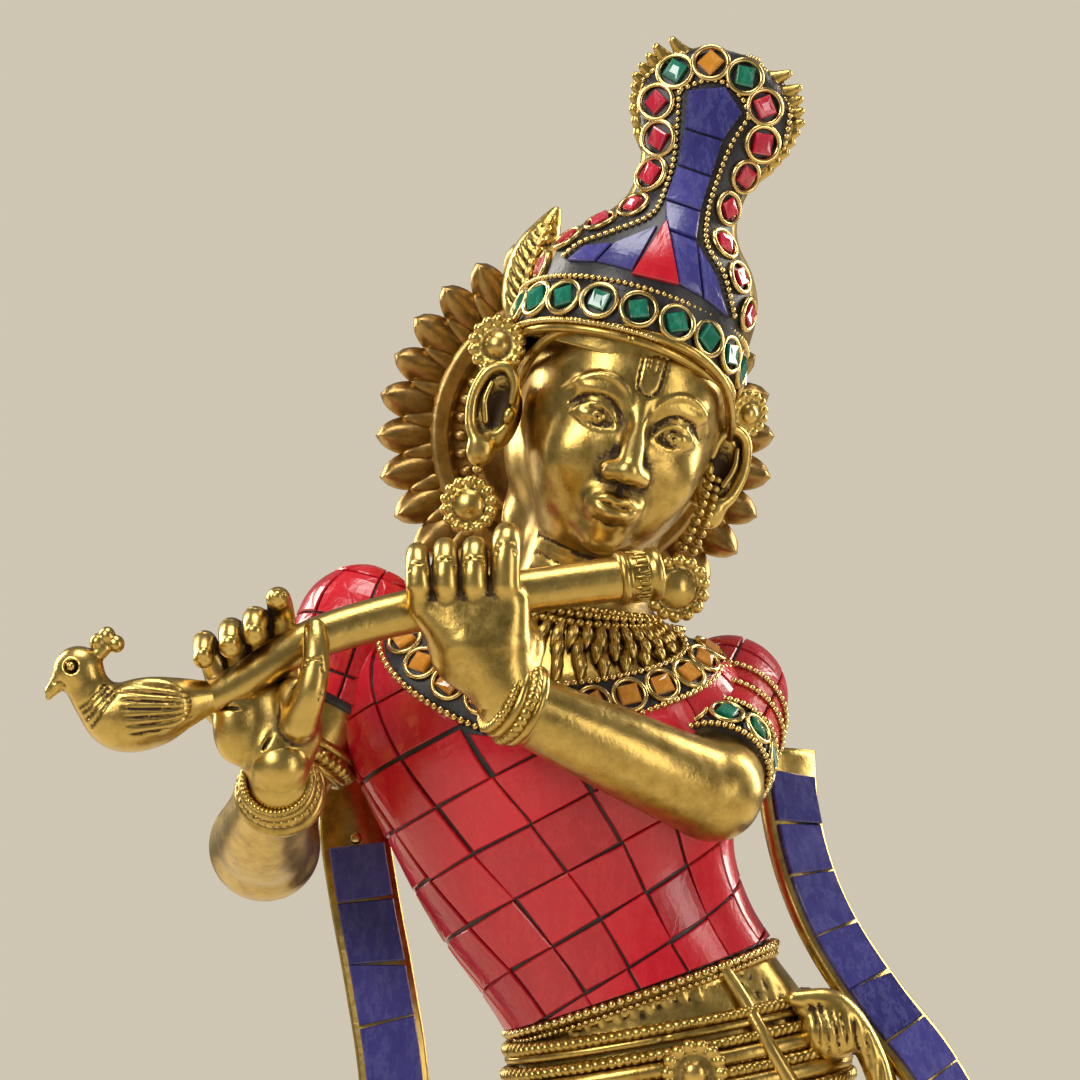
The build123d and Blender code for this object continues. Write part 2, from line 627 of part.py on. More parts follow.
def girdle():
    """The belt: three bands, a rosette in front and the knotted cloth at the left hip."""
    low = ring_loft([((10.8, 1.7, 193.0), 28.2, 18.8, -15), ((9.6, 1.5, 199.2), 26.6, 17.8, -16)])
    inner = ring_loft([((10.8, 1.7, 192.9), 26.4, 17.2, -15), ((9.6, 1.5, 199.3), 25.2, 16.4, -16)])
    rosette = Pos(12.2, -17.6, 197.0) * Rot(90, 0, 0) * (Cylinder(5.2, 2.6) + Pos(0, 0, 1.0) * Sphere(2.6))
    return (low - inner) + rosette


def hip_knot():
    return limb([(36, -4, 203.5), (39, -6, 200), (42, -7, 193), (45, -8, 184), (46, -8, 172)], [2.4, 3.4, 4.2, 4.0, 1.8])


def anklet(at, towards, radius):
    along = unit(sub(towards, at))
    return seat(at, along) * (Cylinder(radius + 1.2, 3.4) - Cylinder(radius - 1.0, 4))


DHOTI_STONES = [(-12, 168), (-14, 152), (-15, 136), (28, 172), (30, 156), (28, 140), (0, 178), (20, 184)]


def dhoti_places():
    return [Pos(x, -15.6 if abs(x - 8) < 14 else -12.0, z) * Rot(90, 0, 0) for x, z in DHOTI_STONES]


# ---------------------------------------------------------------- write every node
def build():
    body = torso()
    cap = crown_cap()
    skull = head() - cap
    lac = vest_lac() - body
    arm_r, arm_l = right_arm(), left_arm()
    flute_tube = flute()
    sleeve_r = sleeve_lac(SHOULDER_R, AXIS_R, 10.4, 17.0) - arm_r - body
    sleeve_l = sleeve_lac(SHOULDER_L, AXIS_L, 10.6, 13.0) - arm_l - body
    legs_body = legs() - body
    scarf_r = strip(SCARF_R, SCARF_WIDTH, SCARF_T) - arm_r - legs_body
    scarf_l = strip(SCARF_L, SCARF_WIDTH, SCARF_T) - arm_l - legs_body
    tiles_r = [seat(p, n) * Box(6.6, 7.4, 1.3) for p, n in
               sleeve_places(SHOULDER_R, AXIS_R, 10.6, 9, 10, [(-3.0, 0.97), (5.0, 1.0)])]
    tiles_l = [seat(p, n) * Box(6.6, 5.4, 1.3) for p, n in
               sleeve_places(SHOULDER_L, AXIS_L, 10.8, 9, 10, [(-2.0, 0.97), (4.0, 1.0)])]
    cuff = [seat(p, n) for p, n in sleeve_places(SHOULDER_L, AXIS_L, 10.8, 10, 0, [(9.4, 0.98)])]
    nodes = {
        "lotus_pedestal": pedestal(),
        "pedestal_petals": petal_rows(),
        "foot_studs": foot_studs(),
        "foot_washers": foot_washers(),
        "foot_nuts": foot_nuts(),
        "legs_casting": legs_body,
        "front_sash": front_sash() - legs_body,
        "torso_casting": body,
        "vest_lac": lac,
        "vest_tiles": vest_tiles(),
        "hem_beads": hem_beads(),
        "collar_lac": collar_lac(),
        "collar_rings": collar_rings(),
        "collar_amber_stones": collar_chips(),
        "collar_beads": collar_beads(),
        "necklace": necklace(),
        "right_arm": arm_r,
        "left_arm": arm_l,
        "right_sleeve_lac": sleeve_r,
        "left_sleeve_lac": sleeve_l,
        "right_sleeve_tiles": tiles_r,
        "left_sleeve_tiles": tiles_l,
        "left_cuff_rings": [bezel(place, 2.1) for place in cuff],
        "left_cuff_green_stones": [chip(place, 2.4) for place in cuff],
        "right_armlet": anklet((-49.6, -3.4, 245.4), ELBOW_R, 6.8),
        "right_bangle": bangle(WRIST_R, (-52.2, -27, 238.8), 5.2),
        "left_bangle": bangle(WRIST_L, (-6, -31, 250.2), 5.3),
        "right_hand": right_hand() - flute_tube - arm_r,
        "left_hand": left_hand() - flute_tube - arm_l,
        "flute_tube": flute_tube,
        "flute_ferrule": flute_ferrule(),
        "flute_bird": flute_bird() - flute_tube,
        "head_casting": skull,
        "right_ear": ear(-1) - skull,
        "left_ear": ear(1) - skull,
        "ear_drums": [ear_drum(-1, (-19.4, -4.0, -18.6), 4.2), ear_drum(1, (17.0, -6.0, -22.6), 4.8),
                      ear_drum(-1, (-22.6, -1.0, 6.2), 3.8), ear_drum(1, (21.6, 1.0, 6.2), 3.8)],
        "crown_cap": cap,
        "crown_band_lac": crown_band() - cap,
        "crown_band_rings": [bezel(place) for place in crown_band_places()],
        "crown_green_stones": [chip(place, spin=6) for place in crown_band_places()],
        "crest_plate": crest(),
        "crest_lac": crest_lac() - crest(),
        "crest_rings": [bezel(p) for c in CREST_STONES for p in crest_places(c)] + [bezel(p, 2.1) for p in cap_places()],
        "crest_red_stones": [chip(p) for p in crest_places("red")] + [chip(p, 2.2) for p in cap_places()],
        "crest_green_stones": [chip(p) for p in crest_places("green")],
        "crest_amber_stone": [chip(p) for p in crest_places("amber")],
        "crest_blue_tiles": crest_tiles(),
        "crest_red_triangle": crest_triangle(),
        "crown_beads": crown_beads(),
        "crown_leaf": crown_leaf() - cap,
        "halo": halo(),
        "halo_screw": halo_screw(),
        "right_scarf": scarf_r,
        "left_scarf": scarf_l,
        "right_scarf_tiles": scarf_tiles(SCARF_R[2:]),
        "left_scarf_tiles": scarf_tiles(SCARF_L[1:]),
        "scarf_rivet": Pos(-38.4, -4.0, 229.0) * Rot(90, 0, 0) * Cylinder(0.8, 3.0),
        "girdle": girdle() - legs_body,
        "hip_knot": hip_knot() - legs_body,
        "anklets": [anklet((3, 5, 48), (2, 5, 40), 7.4), anklet((12.6, -10, 48), (14, -10, 44), 7.0)],
    }
    os.makedirs("parts", exist_ok=True)
    for name, shape in nodes.items():
        if isinstance(shape, list):
            shape = Compound([solid for piece in shape for solid in piece.solids()])
        export_step(shape, f"parts/{name}.step")
    print(len(nodes), "nodes")


build()
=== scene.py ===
"""The looks of the brass flute player: modelled castings, black lac, cut stones, wires and beads.

Lengths are in millimetres until a mesh is made. The figure looks along -Y, and +X is its own left.
"""

import math

import bpy
import numpy as np
from mathutils import Matrix, Vector
from mathutils.bvhtree import BVHTree


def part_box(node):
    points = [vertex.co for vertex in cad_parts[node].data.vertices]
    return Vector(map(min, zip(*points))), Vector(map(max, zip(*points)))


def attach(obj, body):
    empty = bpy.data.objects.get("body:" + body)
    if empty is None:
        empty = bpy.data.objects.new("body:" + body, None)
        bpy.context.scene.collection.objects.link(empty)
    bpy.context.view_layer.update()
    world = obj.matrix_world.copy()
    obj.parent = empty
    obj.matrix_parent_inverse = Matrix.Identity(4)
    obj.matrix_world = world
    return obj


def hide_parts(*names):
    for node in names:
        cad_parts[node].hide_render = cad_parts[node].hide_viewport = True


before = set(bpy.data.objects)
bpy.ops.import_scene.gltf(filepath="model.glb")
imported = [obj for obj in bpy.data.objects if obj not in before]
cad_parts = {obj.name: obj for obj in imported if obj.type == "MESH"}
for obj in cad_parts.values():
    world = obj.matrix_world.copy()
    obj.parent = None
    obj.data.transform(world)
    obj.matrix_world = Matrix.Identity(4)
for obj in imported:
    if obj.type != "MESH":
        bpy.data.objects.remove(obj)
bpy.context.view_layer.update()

MM = 0.001
FAR = 9.0
chance = np.random.default_rng(12)


def node_box(name):
    """Lowest and highest corner of a node of the frame, in millimetres."""
    return [np.array(corner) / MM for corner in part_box(name)]


# ------------------------------------------------------------------ driving dimensions
RING, WIRE = 2.55, 0.42       # bezel ring: middle of its wire, and the wire's radius
BEAD, BEAD_PITCH = 0.52, 1.15
VEST_TILE = (8.7, 9.1)
SLEEVE_TILE = (8.2, 8.6)
SCARF_TILE = 9.6
BLACK_LINE = 0.42             # lac that shows between two tiles
CHAMFER = 0.22                # ground edge of a tile
TILE_PROUD = 0.75             # how far a tile stands off the lac

HEAD = Matrix.Translation((1.7, -1.0, 300.0)) @ Matrix.Rotation(math.radians(16), 4, "Y")
CROWN = HEAD.copy()
HEAD = HEAD @ Matrix.Rotation(math.radians(9), 4, "Z")
SHOULDER_R, ELBOW_R, WRIST_R = (-40.0, 0.0, 266.0), (-55.0, -6.0, 232.6), (-51.4, -38.0, 243.0)
SHOULDER_L, ELBOW_L, WRIST_L = (18.8, 7.0, 255.4), (15.6, -17.0, 241.4), (-16.2, -35.0, 256.0)
TORSO = [(6.6, 1.0, 206.5, 21.4, 14.6, -19), (1.2, 0.0, 215.0, 21.2, 14.0, -18),
    (-4.0, -1.0, 225.0, 23.2, 14.8, -15), (-7.6, -2.0, 238.0, 27.2, 17.0, -9),
    (-10.5, -2.0, 250.0, 31.0, 18.6, -2), (-10.6, -1.0, 259.0, 31.5, 17.4, 4),
    (-8.6, 1.0, 266.0, 25.5, 13.6, 8), (-5.6, 1.0, 271.0, 13.0, 10.2, 9), (-3.2, 0.5, 276.0, 9.6, 9.0, 11),
    (-1.6, 0.0, 284.0, 9.0, 8.8, 14),]
FLUTE = [(3.6, -24.5, 275.0, 3.5), (-5.7, -27.0, 273.8, 3.5), (-22.1, -31.0, 271.4, 3.5),
    (-36.1, -35.0, 268.6, 3.4), (-47.5, -38.8, 264.9, 3.2), (-57.0, -41.4, 259.2, 2.8),
    (-62.5, -42.8, 256.4, 2.5), (-67.0, -43.6, 255.8, 2.9),]


# ------------------------------------------------------------------ lines and directions
def unit(vector):
    """The same direction with a length of 1."""
    vector = np.asarray(vector, float)
    return vector / np.maximum(np.linalg.norm(vector, axis=-1, keepdims=True), 1e-9)


def smooth(points, every=1.0, closed=False):
    """A smooth line through the points; further columns, such as a radius, go along."""
    p = np.asarray(points, float)
    p = np.vstack([p[-1:], p, p[:2]]) if closed else np.vstack([2 * p[0] - p[1], p, 2 * p[-1] - p[-2]])
    runs = []
    for a, b, c, d in zip(p, p[1:], p[2:], p[3:]):
        count = max(1, math.ceil(np.linalg.norm((c - b)[:3]) / every))
        t = np.arange(count)[:, None] / count
        runs.append(b + 0.5 * t * (c - a + t * (2 * a - 5 * b + 4 * c - d + t * (3 * b - a - 3 * c + d))))
    return np.vstack(runs + [p[-2:-1]])


def evenly(line, pitch, closed=False):
    """The line's points at an even spacing that comes out whole."""
    steps = np.linalg.norm(np.diff(line[:, :3], axis=0), axis=1)
    along = np.concatenate([[0], np.cumsum(steps)])
    count = max(2, round(along[-1] / pitch))
    places = np.linspace(0, along[-1], count + 1)
    return np.column_stack([np.interp(places[:-1] if closed else places, along, column)
            for column in line.T])


def turns(count):
    """Angles evenly round a circle."""
    return np.linspace(0, 2 * math.pi, count, endpoint=False)


def placed(points, place):
    """Points taken from a part's own coordinates to the figure's; further columns stay."""
    points = np.atleast_2d(np.asarray(points, float))
    return np.column_stack([points[:, :3] @ np.array(place.to_3x3()).T + np.array(place.translation),
            points[:, 3:]])


# ------------------------------------------------------------------ modelling clay
class Clay:
    """A block of clay as distances on a grid. Shapes are pressed on with a soft edge, or cut away."""

    def __init__(self, low, high, step):
        self.low, self.step = np.array(low, float), step
        size = np.ceil((np.array(high, float) - self.low) / step).astype(int) + 1
        self.axes = [self.low[i] + step * np.arange(size[i]) for i in range(3)]
        self.field = np.full(size, FAR, np.float32)

    def window(self, low, high):
        """The grid cells between two corners."""
        first = np.maximum(np.floor((np.asarray(low) - self.low) / self.step), 0).astype(int)
        last = np.minimum(np.ceil((np.asarray(high) - self.low) / self.step).astype(int) + 1,
            self.field.shape)
        return tuple(slice(a, max(a, b)) for a, b in zip(first, last))

    def places(self, window):
        """The x, y and z of a window's cells."""
        shape = lambda k: [-1 if i == k else 1 for i in range(3)]
        return [self.axes[k][window[k]].reshape(shape(k)) for k in range(3)]

    def press(self, window, shape, soft, cut):
        """Joins a shape to the clay, or cuts it away, with a soft edge."""
        old = -self.field[window] if cut else self.field[window]
        reach = np.maximum(soft - np.abs(old - shape), 0)
        new = np.minimum(old, shape) - reach * reach / (4 * soft)
        self.field[window] = -new if cut else new

    def egg(self, centre, radii, soft=1.0, cut=False, turn=None):
        """An egg of three radii, which may be turned by (axis, degrees)."""
        centre, radii = np.asarray(centre, float), np.ones(3) * radii
        reach = radii.max() + soft + 2 * self.step
        window = self.window(centre - reach, centre + reach)
        local = [p - c for p, c in zip(self.places(window), centre)]
        if turn is not None:
            m = np.array(Matrix.Rotation(math.radians(turn[1]), 3, turn[0]))
            local = [m[0, k] * local[0] + m[1, k] * local[1] + m[2, k] * local[2] for k in range(3)]
        near = np.sqrt(sum((p / r) ** 2 for p, r in zip(local, radii)))
        slope = np.sqrt(sum((p / r ** 2) ** 2 for p, r in zip(local, radii)))
        self.press(window, near * (near - 1) / np.maximum(slope, 1e-6), soft, cut)

    def tube(self, points, soft=0.6, cut=False):
        """A round bar along points of (x, y, z, radius)."""
        points = np.asarray(points, float)
        reach = points[:, 3].max() + soft + 2 * self.step
        window = self.window(points[:, :3].min(0) - reach, points[:, :3].max(0) + reach)
        shape = np.full([s.stop - s.start for s in window], FAR, np.float32)
        for a, b in zip(points, points[1:]):
            part = self.window(np.minimum(a, b)[:3] - reach, np.maximum(a, b)[:3] + reach)
            inner = tuple(slice(p.start - w.start, p.stop - w.start) for p, w in zip(part, window))
            run = b - a
            square = max(run[:3] @ run[:3], 1e-9)
            local = [p - c for p, c in zip(self.places(part), a)]
            h = np.clip(sum(p * r for p, r in zip(local, run)) / square, 0, 1)
            far = np.sqrt(sum((p - h * r) ** 2 for p, r in zip(local, run))) - (a[3] + h * run[3])
            shape[inner] = np.minimum(shape[inner], far)
        self.press(window, shape, soft, cut)

    def stack(self, rings, soft=1.0):
        """A body through oval rings of (x, y, z, half width, half depth, turn about Y).

        Gives back the window, the angle round the body and the ring number of each place in it."""
        rings = np.column_stack([np.asarray(rings, float), np.arange(len(rings))])
        line = smooth(rings, 0.8)
        reach = line[:, 3:5].max() + soft + 2
        window = self.window(line[:, :3].min(0) - reach, line[:, :3].max(0) + reach)
        x, y, z = self.places(window)
        turn = np.radians(line[:, 5])
        gap = (x[..., None] - line[:, 0]) * np.sin(turn) + (z[..., None] - line[:, 2]) * np.cos(turn)
        spot = np.clip((gap > 0).sum(-1) - 1, 0, len(line) - 2)
        g0, g1 = (np.take_along_axis(gap, (spot + k)[..., None], -1)[..., 0] for k in (0, 1))
        t = np.clip(g0 / np.maximum(g0 - g1, 1e-6), 0, 1)
        cx, cy, cz, wide, deep, angle, level = (line[spot, k] * (1 - t) + line[spot + 1, k] * t
            for k in range(7))
        angle = np.radians(angle)
        side = (x - cx) * np.cos(angle) - (z - cz) * np.sin(angle)
        back = y - cy
        near = np.sqrt((side / wide) ** 2 + (back / deep) ** 2)
        slope = np.sqrt((side / wide ** 2) ** 2 + (back / deep ** 2) ** 2)
        shape = near * (near - 1) / np.maximum(slope, 1e-6)
        around = np.arctan2(side / wide, -back / deep)
        shape = np.maximum(shape, np.maximum(-gap[..., 0], gap[..., -1]))
        self.press(window, shape.astype(np.float32), soft, cut=False)
        return window, around, level

    def front(self):
        """Depth of the front surface, to draw on with draw()."""
        inside = self.field < 0
        first = np.maximum(inside.argmax(1), 1)[:, None, :]
        f1, f0 = (np.take_along_axis(self.field, first - k, 1)[:, 0, :] for k in (0, 1))
        y = self.axes[1][first[:, 0, :]] - self.step * f1 / np.minimum(f1 - f0, -1e-6)
        depth = np.where(inside.any(1), y, np.nan)
        for axis in (0, 1, 0, 1):
            depth = (np.roll(depth, 1, axis) + 2 * depth + np.roll(depth, -1, axis)) / 4
        self.depth = depth

    def on_front(self, x, z):
        """Depth of the front surface at x and z."""
        i = np.clip((np.asarray(x, float) - self.low[0]) / self.step, 0, self.depth.shape[0] - 1.01)
        k = np.clip((np.asarray(z, float) - self.low[2]) / self.step, 0, self.depth.shape[1] - 1.01)
        a, c = np.floor(i).astype(int), np.floor(k).astype(int)
        s, t = i - a, k - c
        d = self.depth
        return (d[a, c] * (1 - s) + d[a + 1, c] * s) * (1 - t) + (d[a, c + 1] * (1 - s)
            + d[a + 1, c + 1] * s) * t

    def draw(self, path, radius, lift=0.0, soft=0.3, cut=True, closed=False):
        """Cuts a line into the front surface, or lays a bead of clay on it; a path is (x, z) points.

        The radius tapers to both ends when it is given as (middle, ends)."""
        line = smooth(path, self.step, closed)
        y = self.on_front(line[:, 0], line[:, 1])
        keep = np.isfinite(y)
        line, y = line[keep], y[keep]
        if len(line) < 2:
            return
        middle, ends = radius if isinstance(radius, tuple) else (radius, radius)
        r = ends + (middle - ends) * np.sin(np.linspace(0, math.pi, len(line))) ** 0.7
        self.tube(np.column_stack([line[:, 0], y + lift, line[:, 1], r]), soft, cut)

    def skin(self):
        """Vertices, quads and relief of the surface; relief is below 0 in a hollow, above 0 on an edge."""
        verts, quads = surface(self.field, self.low, self.step)
        near = np.clip(np.rint((verts - self.low) / self.step).astype(int), 0,
            np.array(self.field.shape) - 1)
        spot = tuple(near.T)
        flat = np.clip(self.field, -3, 3)
        fine, broad = softened(flat, 0.9 / self.step), softened(flat, 2.4 / self.step)
        relief = 2.4 * (fine[spot] - flat[spot]) + 0.9 * (broad[spot] - flat[spot])
        return verts, quads, relief


def softened(field, reach):
    """The field averaged over a box, twice on each axis."""
    reach = max(1, round(reach / 2))
    for axis in (0, 1, 2):
        for _ in (0, 1):
            padded = np.concatenate([field.take([0] * (reach + 1), axis), field,
                    field.take([-1] * reach, axis)], axis)
            total = np.cumsum(padded, axis, dtype=np.float64)
            width = 2 * reach + 1
            top, low = total.take(range(width, total.shape[axis]),
                axis), total.take(range(0, total.shape[axis] - width), axis)
            field = ((top - low) / width).astype(np.float32)
    return field


def surface(field, low, step):
    """A quad surface where the field changes sign."""
    inside = field < 0
    nx, ny, nz = field.shape
    corners = [(i, j, k) for i in (0, 1) for j in (0, 1) for k in (0, 1)]
    total = sum(inside[i:nx - 1 + i, j:ny - 1 + j, k:nz - 1 + k].astype(np.int8) for i, j, k in corners)
    cells = np.argwhere((total > 0) & (total < 8))
    number = np.full(total.shape, -1, np.int32)
    number[tuple(cells.T)] = np.arange(len(cells))
    values = [field[cells[:, 0] + i, cells[:, 1] + j, cells[:, 2] + k] for i, j, k in corners]
    place, count = np.zeros((len(cells), 3)), np.zeros(len(cells))
    for a in range(8):
        for b in range(a + 1, 8):
            if bin(a ^ b).count("1") == 1:
                crossing = (values[a] < 0) != (values[b] < 0)
                t = np.where(crossing, values[a] / np.where(crossing, values[a] - values[b], 1), 0)
                start, end = np.array(corners[a]), np.array(corners[b])
                place += crossing[:, None] * (start + t[:, None] * (end - start))
                count += crossing
    verts = low + step * (cells + place / count[:, None])
    quads = []
    for axis in range(3):
        u, v = (axis + 1) % 3, (axis + 2) % 3
        size = field.shape[axis]
        lower, upper = inside.take(range(0, size - 1), axis), inside.take(range(1, size), axis)
        edge = np.argwhere(lower != upper)
        ok = (edge[:, u] > 0) & (edge[:, v] > 0) & (edge[:, u] < field.shape[u] - 1) & (edge[:,
                v] < field.shape[v] - 1)
        edge = edge[ok]
        du, dv = np.eye(3, dtype=int)[u], np.eye(3, dtype=int)[v]
        quad = np.stack([number[tuple((edge - shift).T)] for shift in (du + dv, dv, 0 * du, du)], 1)
        outward = lower[tuple(edge.T)]
        quads.append(np.where(outward[:, None], quad, quad[:, ::-1]))
    return verts, np.vstack(quads)


# ------------------------------------------------------------------ meshes
def in_scene(name, data):
    """A new object in the scene."""
    made = bpy.data.objects.new(name, data)
    bpy.context.scene.collection.objects.link(made)
    return made


def mesh_of(name, verts, faces, finish, values=None, crisp=False):
    """A mesh object in metres from millimetre vertices, with float values per vertex."""
    mesh = bpy.data.meshes.new(name)
    faces = [np.asarray(f, int) for f in faces] if not isinstance(faces, np.ndarray) else faces
    sizes = np.array([len(f) for f in faces]) if isinstance(faces, list) else np.full(len(faces),
        faces.shape[1])
    mesh.vertices.add(len(verts))
    mesh.vertices.foreach_set("co", (np.asarray(verts, float) * MM).ravel())
    mesh.loops.add(int(sizes.sum()))
    mesh.loops.foreach_set("vertex_index", np.concatenate([np.ravel(f) for f in faces]).astype(np.int32))
    mesh.polygons.add(len(sizes))
    mesh.polygons.foreach_set("loop_start", np.concatenate([[0], np.cumsum(sizes)[:-1]]).astype(np.int32))
    mesh.polygons.foreach_set("loop_total", sizes.astype(np.int32))
    mesh.update(calc_edges=True)
    mesh.validate()
    mesh.polygons.foreach_set("use_smooth", np.full(len(mesh.polygons), not crisp))
    for key, value in (values or {}).items():
        mesh.attributes.new(key, "FLOAT", "POINT").data.foreach_set("value", np.asarray(value, np.float32))
    mesh.materials.append(finish)
    return in_scene(name, mesh)


def show(piece, slot, *nodes):
    """Puts a finished piece on the figure, in place of its nodes of the frame."""
    piece.name = piece.data.name = piece.name.replace(" ", "_")
    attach(piece, "root")
    if nodes:
        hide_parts(*nodes)
    return piece


def cast(name, clay, *nodes, finish=None, slot="aged_brass", place=None):
    """A casting from a block of clay, in aged brass as a rule. Returns its vertices and quads."""
    verts, quads, relief = clay.skin()
    if place is not None:
        verts = placed(verts, place)
    show(mesh_of(name, verts, quads, finish or BRASS, {"relief": relief}), slot, *nodes)
    return verts, quads


class Shell:
    """Collects the faces of a piece that is made of many bodies."""

    def __init__(self):
        self.verts, self.faces, self.tones, self.count = [], [], [], 0

    def add(self, verts, faces, tone=0.5):
        self.verts.append(np.asarray(verts, float))
        self.faces += [[i + self.count for i in face] for face in faces]
        self.tones.append(np.full(len(verts), tone))
        self.count += len(verts)

    def piece(self, name, finish, crisp=False):
        return mesh_of(name, np.vstack(self.verts), self.faces, finish,
            {"tone": np.concatenate(self.tones)}, crisp)


def walls(rings, sides):
    """Quads between closed rings of vertices that follow one another."""
    return [[i * sides + j, i * sides + (j + 1) % sides, (i + 1) * sides + (j + 1) % sides,
            (i + 1) * sides + j] for i in range(rings - 1) for j in range(sides)]


def tube_body(line, sides=14, squash=1.0):
    """Vertices and faces of a closed bar along points of (x, y, z, radius)."""
    line = np.asarray(line, float)
    along = unit(np.gradient(line[:, :3], axis=0))
    level = np.where(np.abs(along[:, 2:]) > 0.9, [[0.0, 1.0, 0.0]], [[0.0, 0.0, 1.0]])
    level = level if (np.abs(along[:, 2]) > 0.9).all() else np.tile([[0.0, 1.0, 0.02]], (len(line), 1))
    across = unit(np.cross(level, along))
    up = np.cross(along, across)
    angle = turns(sides)
    ring = np.cos(angle)[None, :, None] * across[:, None] + squash * np.sin(angle)[None, :,
        None] * up[:, None]
    verts = (line[:, None, :3] + ring * line[:, None, 3:4]).reshape(-1, 3)
    faces = walls(len(line), sides)
    faces.append(list(range(sides))[::-1])
    faces.append([len(verts) - sides + j for j in range(sides)])
    return verts, faces


def lathe(outline, sides=96, centre=(0, 0, 0), turn=None):
    """A closed turned body from an outline of (radius, height) that starts and ends on the axis."""
    angle = turns(sides)
    rows = [[r * np.cos(angle), r * np.sin(angle), np.full(sides, h)] for r, h in outline[1:-1]]
    verts = np.concatenate([np.stack(row, 1) for row in rows]
        + [[[0, 0, outline[0][1]], [0, 0, outline[-1][1]]]])
    faces = walls(len(rows), sides)
    low, high = len(rows) * sides, len(rows) * sides + 1
    faces += [[low, (j + 1) % sides, j] for j in range(sides)]
    faces += [[high, (len(rows) - 1) * sides + j, (len(rows) - 1) * sides + (j + 1) % sides]
        for j in range(sides)]
    if turn is not None:
        verts = verts @ np.array(turn).T
    return verts + np.asarray(centre, float), faces


# ------------------------------------------------------------------ laying things on a surface
class Ground:
    """A surface that other pieces are laid on, found by looking towards it."""

    def __init__(self, verts, faces):
        self.tree = BVHTree.FromPolygons(np.asarray(verts).tolist(), np.asarray(faces).tolist())

    def look(self, eye, towards):
        """Place and outward normal where a look from eye meets the surface, or None."""
        hit, normal, _, _ = self.tree.ray_cast(Vector(eye), Vector(towards))
        return None if hit is None else (np.array(hit), np.array(normal))


class Round:
    """Flat coordinates round an axis: u is the length round an oval, 0 at the front, v goes along the axis.

    Below v = 0 the surface may close as a dome of the given radius."""

    def __init__(self, ground, base, axis, oval, dome=None):
        self.ground, self.base, self.dome = ground, np.array(base, float), dome
        self.axis, front = unit(axis), np.array((0.0, -1.0, 0.0))
        self.out = unit(front - self.axis * (self.axis @ front))
        self.side = np.cross(self.axis, self.out)
        self.side = self.side if self.side[0] >= 0 else -self.side
        t = np.linspace(-math.pi, math.pi, 721)
        x, y = oval[0] * np.sin(t), oval[1] * np.cos(t)
        length = np.concatenate([[0], np.cumsum(np.hypot(np.diff(x), np.diff(y)))])
        self.lengths, self.angles = length - length[360], np.unwrap(np.arctan2(x, y))
        self.angles = self.angles - self.angles[360]
        self.half = self.lengths[-1]

    def flat(self, place):
        """The flat coordinates of a place."""
        away = np.asarray(place, float) - self.base
        angle = math.atan2(away @ self.side, away @ self.out)
        return float(np.interp(angle, self.angles, self.lengths)), float(away @ self.axis)

    def at(self, u, v, proud=0.0):
        """The place on the surface at flat coordinates, and the way it faces."""
        angle = np.interp(u, self.lengths, self.angles)
        way = self.out * math.cos(angle) + self.side * math.sin(angle)
        start = self.base + self.axis * v
        if self.dome and v < 0:
            rise = -v / self.dome
            start, way = self.base, way * math.cos(rise) - self.axis * math.sin(rise)
        found = self.ground.look(start + way * 70, -way)
        return None if found is None else (found[0] + found[1] * proud, found[1])


def clip(polygon, point, inward):
    """The part of a convex polygon on the inward side of a line."""
    kept = []
    for a, b in zip(polygon, np.roll(polygon, -1, 0)):
        da, db = (a - point) @ inward, (b - point) @ inward
        if da >= 0:
            kept.append(a)
        if (da > 0) != (db > 0) and da != db:
            kept.append(a + (b - a) * da / (da - db))
    return np.array(kept)


def inset(polygon, gap):
    """A convex polygon with every side moved in by gap."""
    centre = polygon.mean(0)
    shape = polygon
    for a, b in zip(polygon, np.roll(polygon, -1, 0)):
        normal = np.array([a[1] - b[1], b[0] - a[0]])
        size = np.linalg.norm(normal)
        if size < 0.05:
            continue
        normal = normal / size
        normal = normal if (centre - a) @ normal > 0 else -normal
        shape = clip(shape, a + normal * gap, normal)
        if len(shape) < 3:
            return None
    return shape


def area(polygon):
    """The area of a polygon."""
    x, y = polygon.T
    return abs(x @ np.roll(y, -1) - y @ np.roll(x, -1)) / 2


def lay_stone(shell, polygon, where, proud, gap=BLACK_LINE, every=1.6, tilt=0.0, sunk=0.9):
    """One stone, cut to a polygon in flat coordinates, ground to the surface and bedded in the lac."""
    polygon = inset(polygon, gap / 2)
    if polygon is None or area(polygon) < 2.0:
        return
    centre = polygon.mean(0)
    edge = []
    for a, b in zip(polygon, np.roll(polygon, -1, 0)):
        count = max(1, round(np.linalg.norm(b - a) / every))
        edge += [a + (b - a) * i / count for i in range(count)]
    edge = np.array(edge)
    reach = np.linalg.norm(edge - centre, axis=1).mean()
    lean = chance.normal(0, tilt, 2)
    rows = [(1.0, -sunk), (1.0, proud - CHAMFER), (1 - CHAMFER / reach, proud), (0.66, proud),
        (0.33, proud), (0.0, proud)]
    verts = []
    for share, height in rows:
        for spot in (edge if share else edge[:1]) - centre:
            flat = centre + spot * share
            found = where(flat[0], flat[1], height + (lean @ spot * share if height > 0 else 0.0))
            if found is None:
                return
            verts.append(found[0])
    n = len(edge)
    faces = walls(5, n)
    faces += [[4 * n + j, 4 * n + (j + 1) % n, 5 * n] for j in range(n)]
    faces.append(list(range(n))[::-1])
    tone = chance.random()
    first = np.cross(verts[1] - verts[0], verts[n] - verts[0])
    outward = first @ (verts[0] - np.mean(verts[:n], 0))
    shell.add(verts, faces if outward > 0 else [f[::-1] for f in faces], tone)


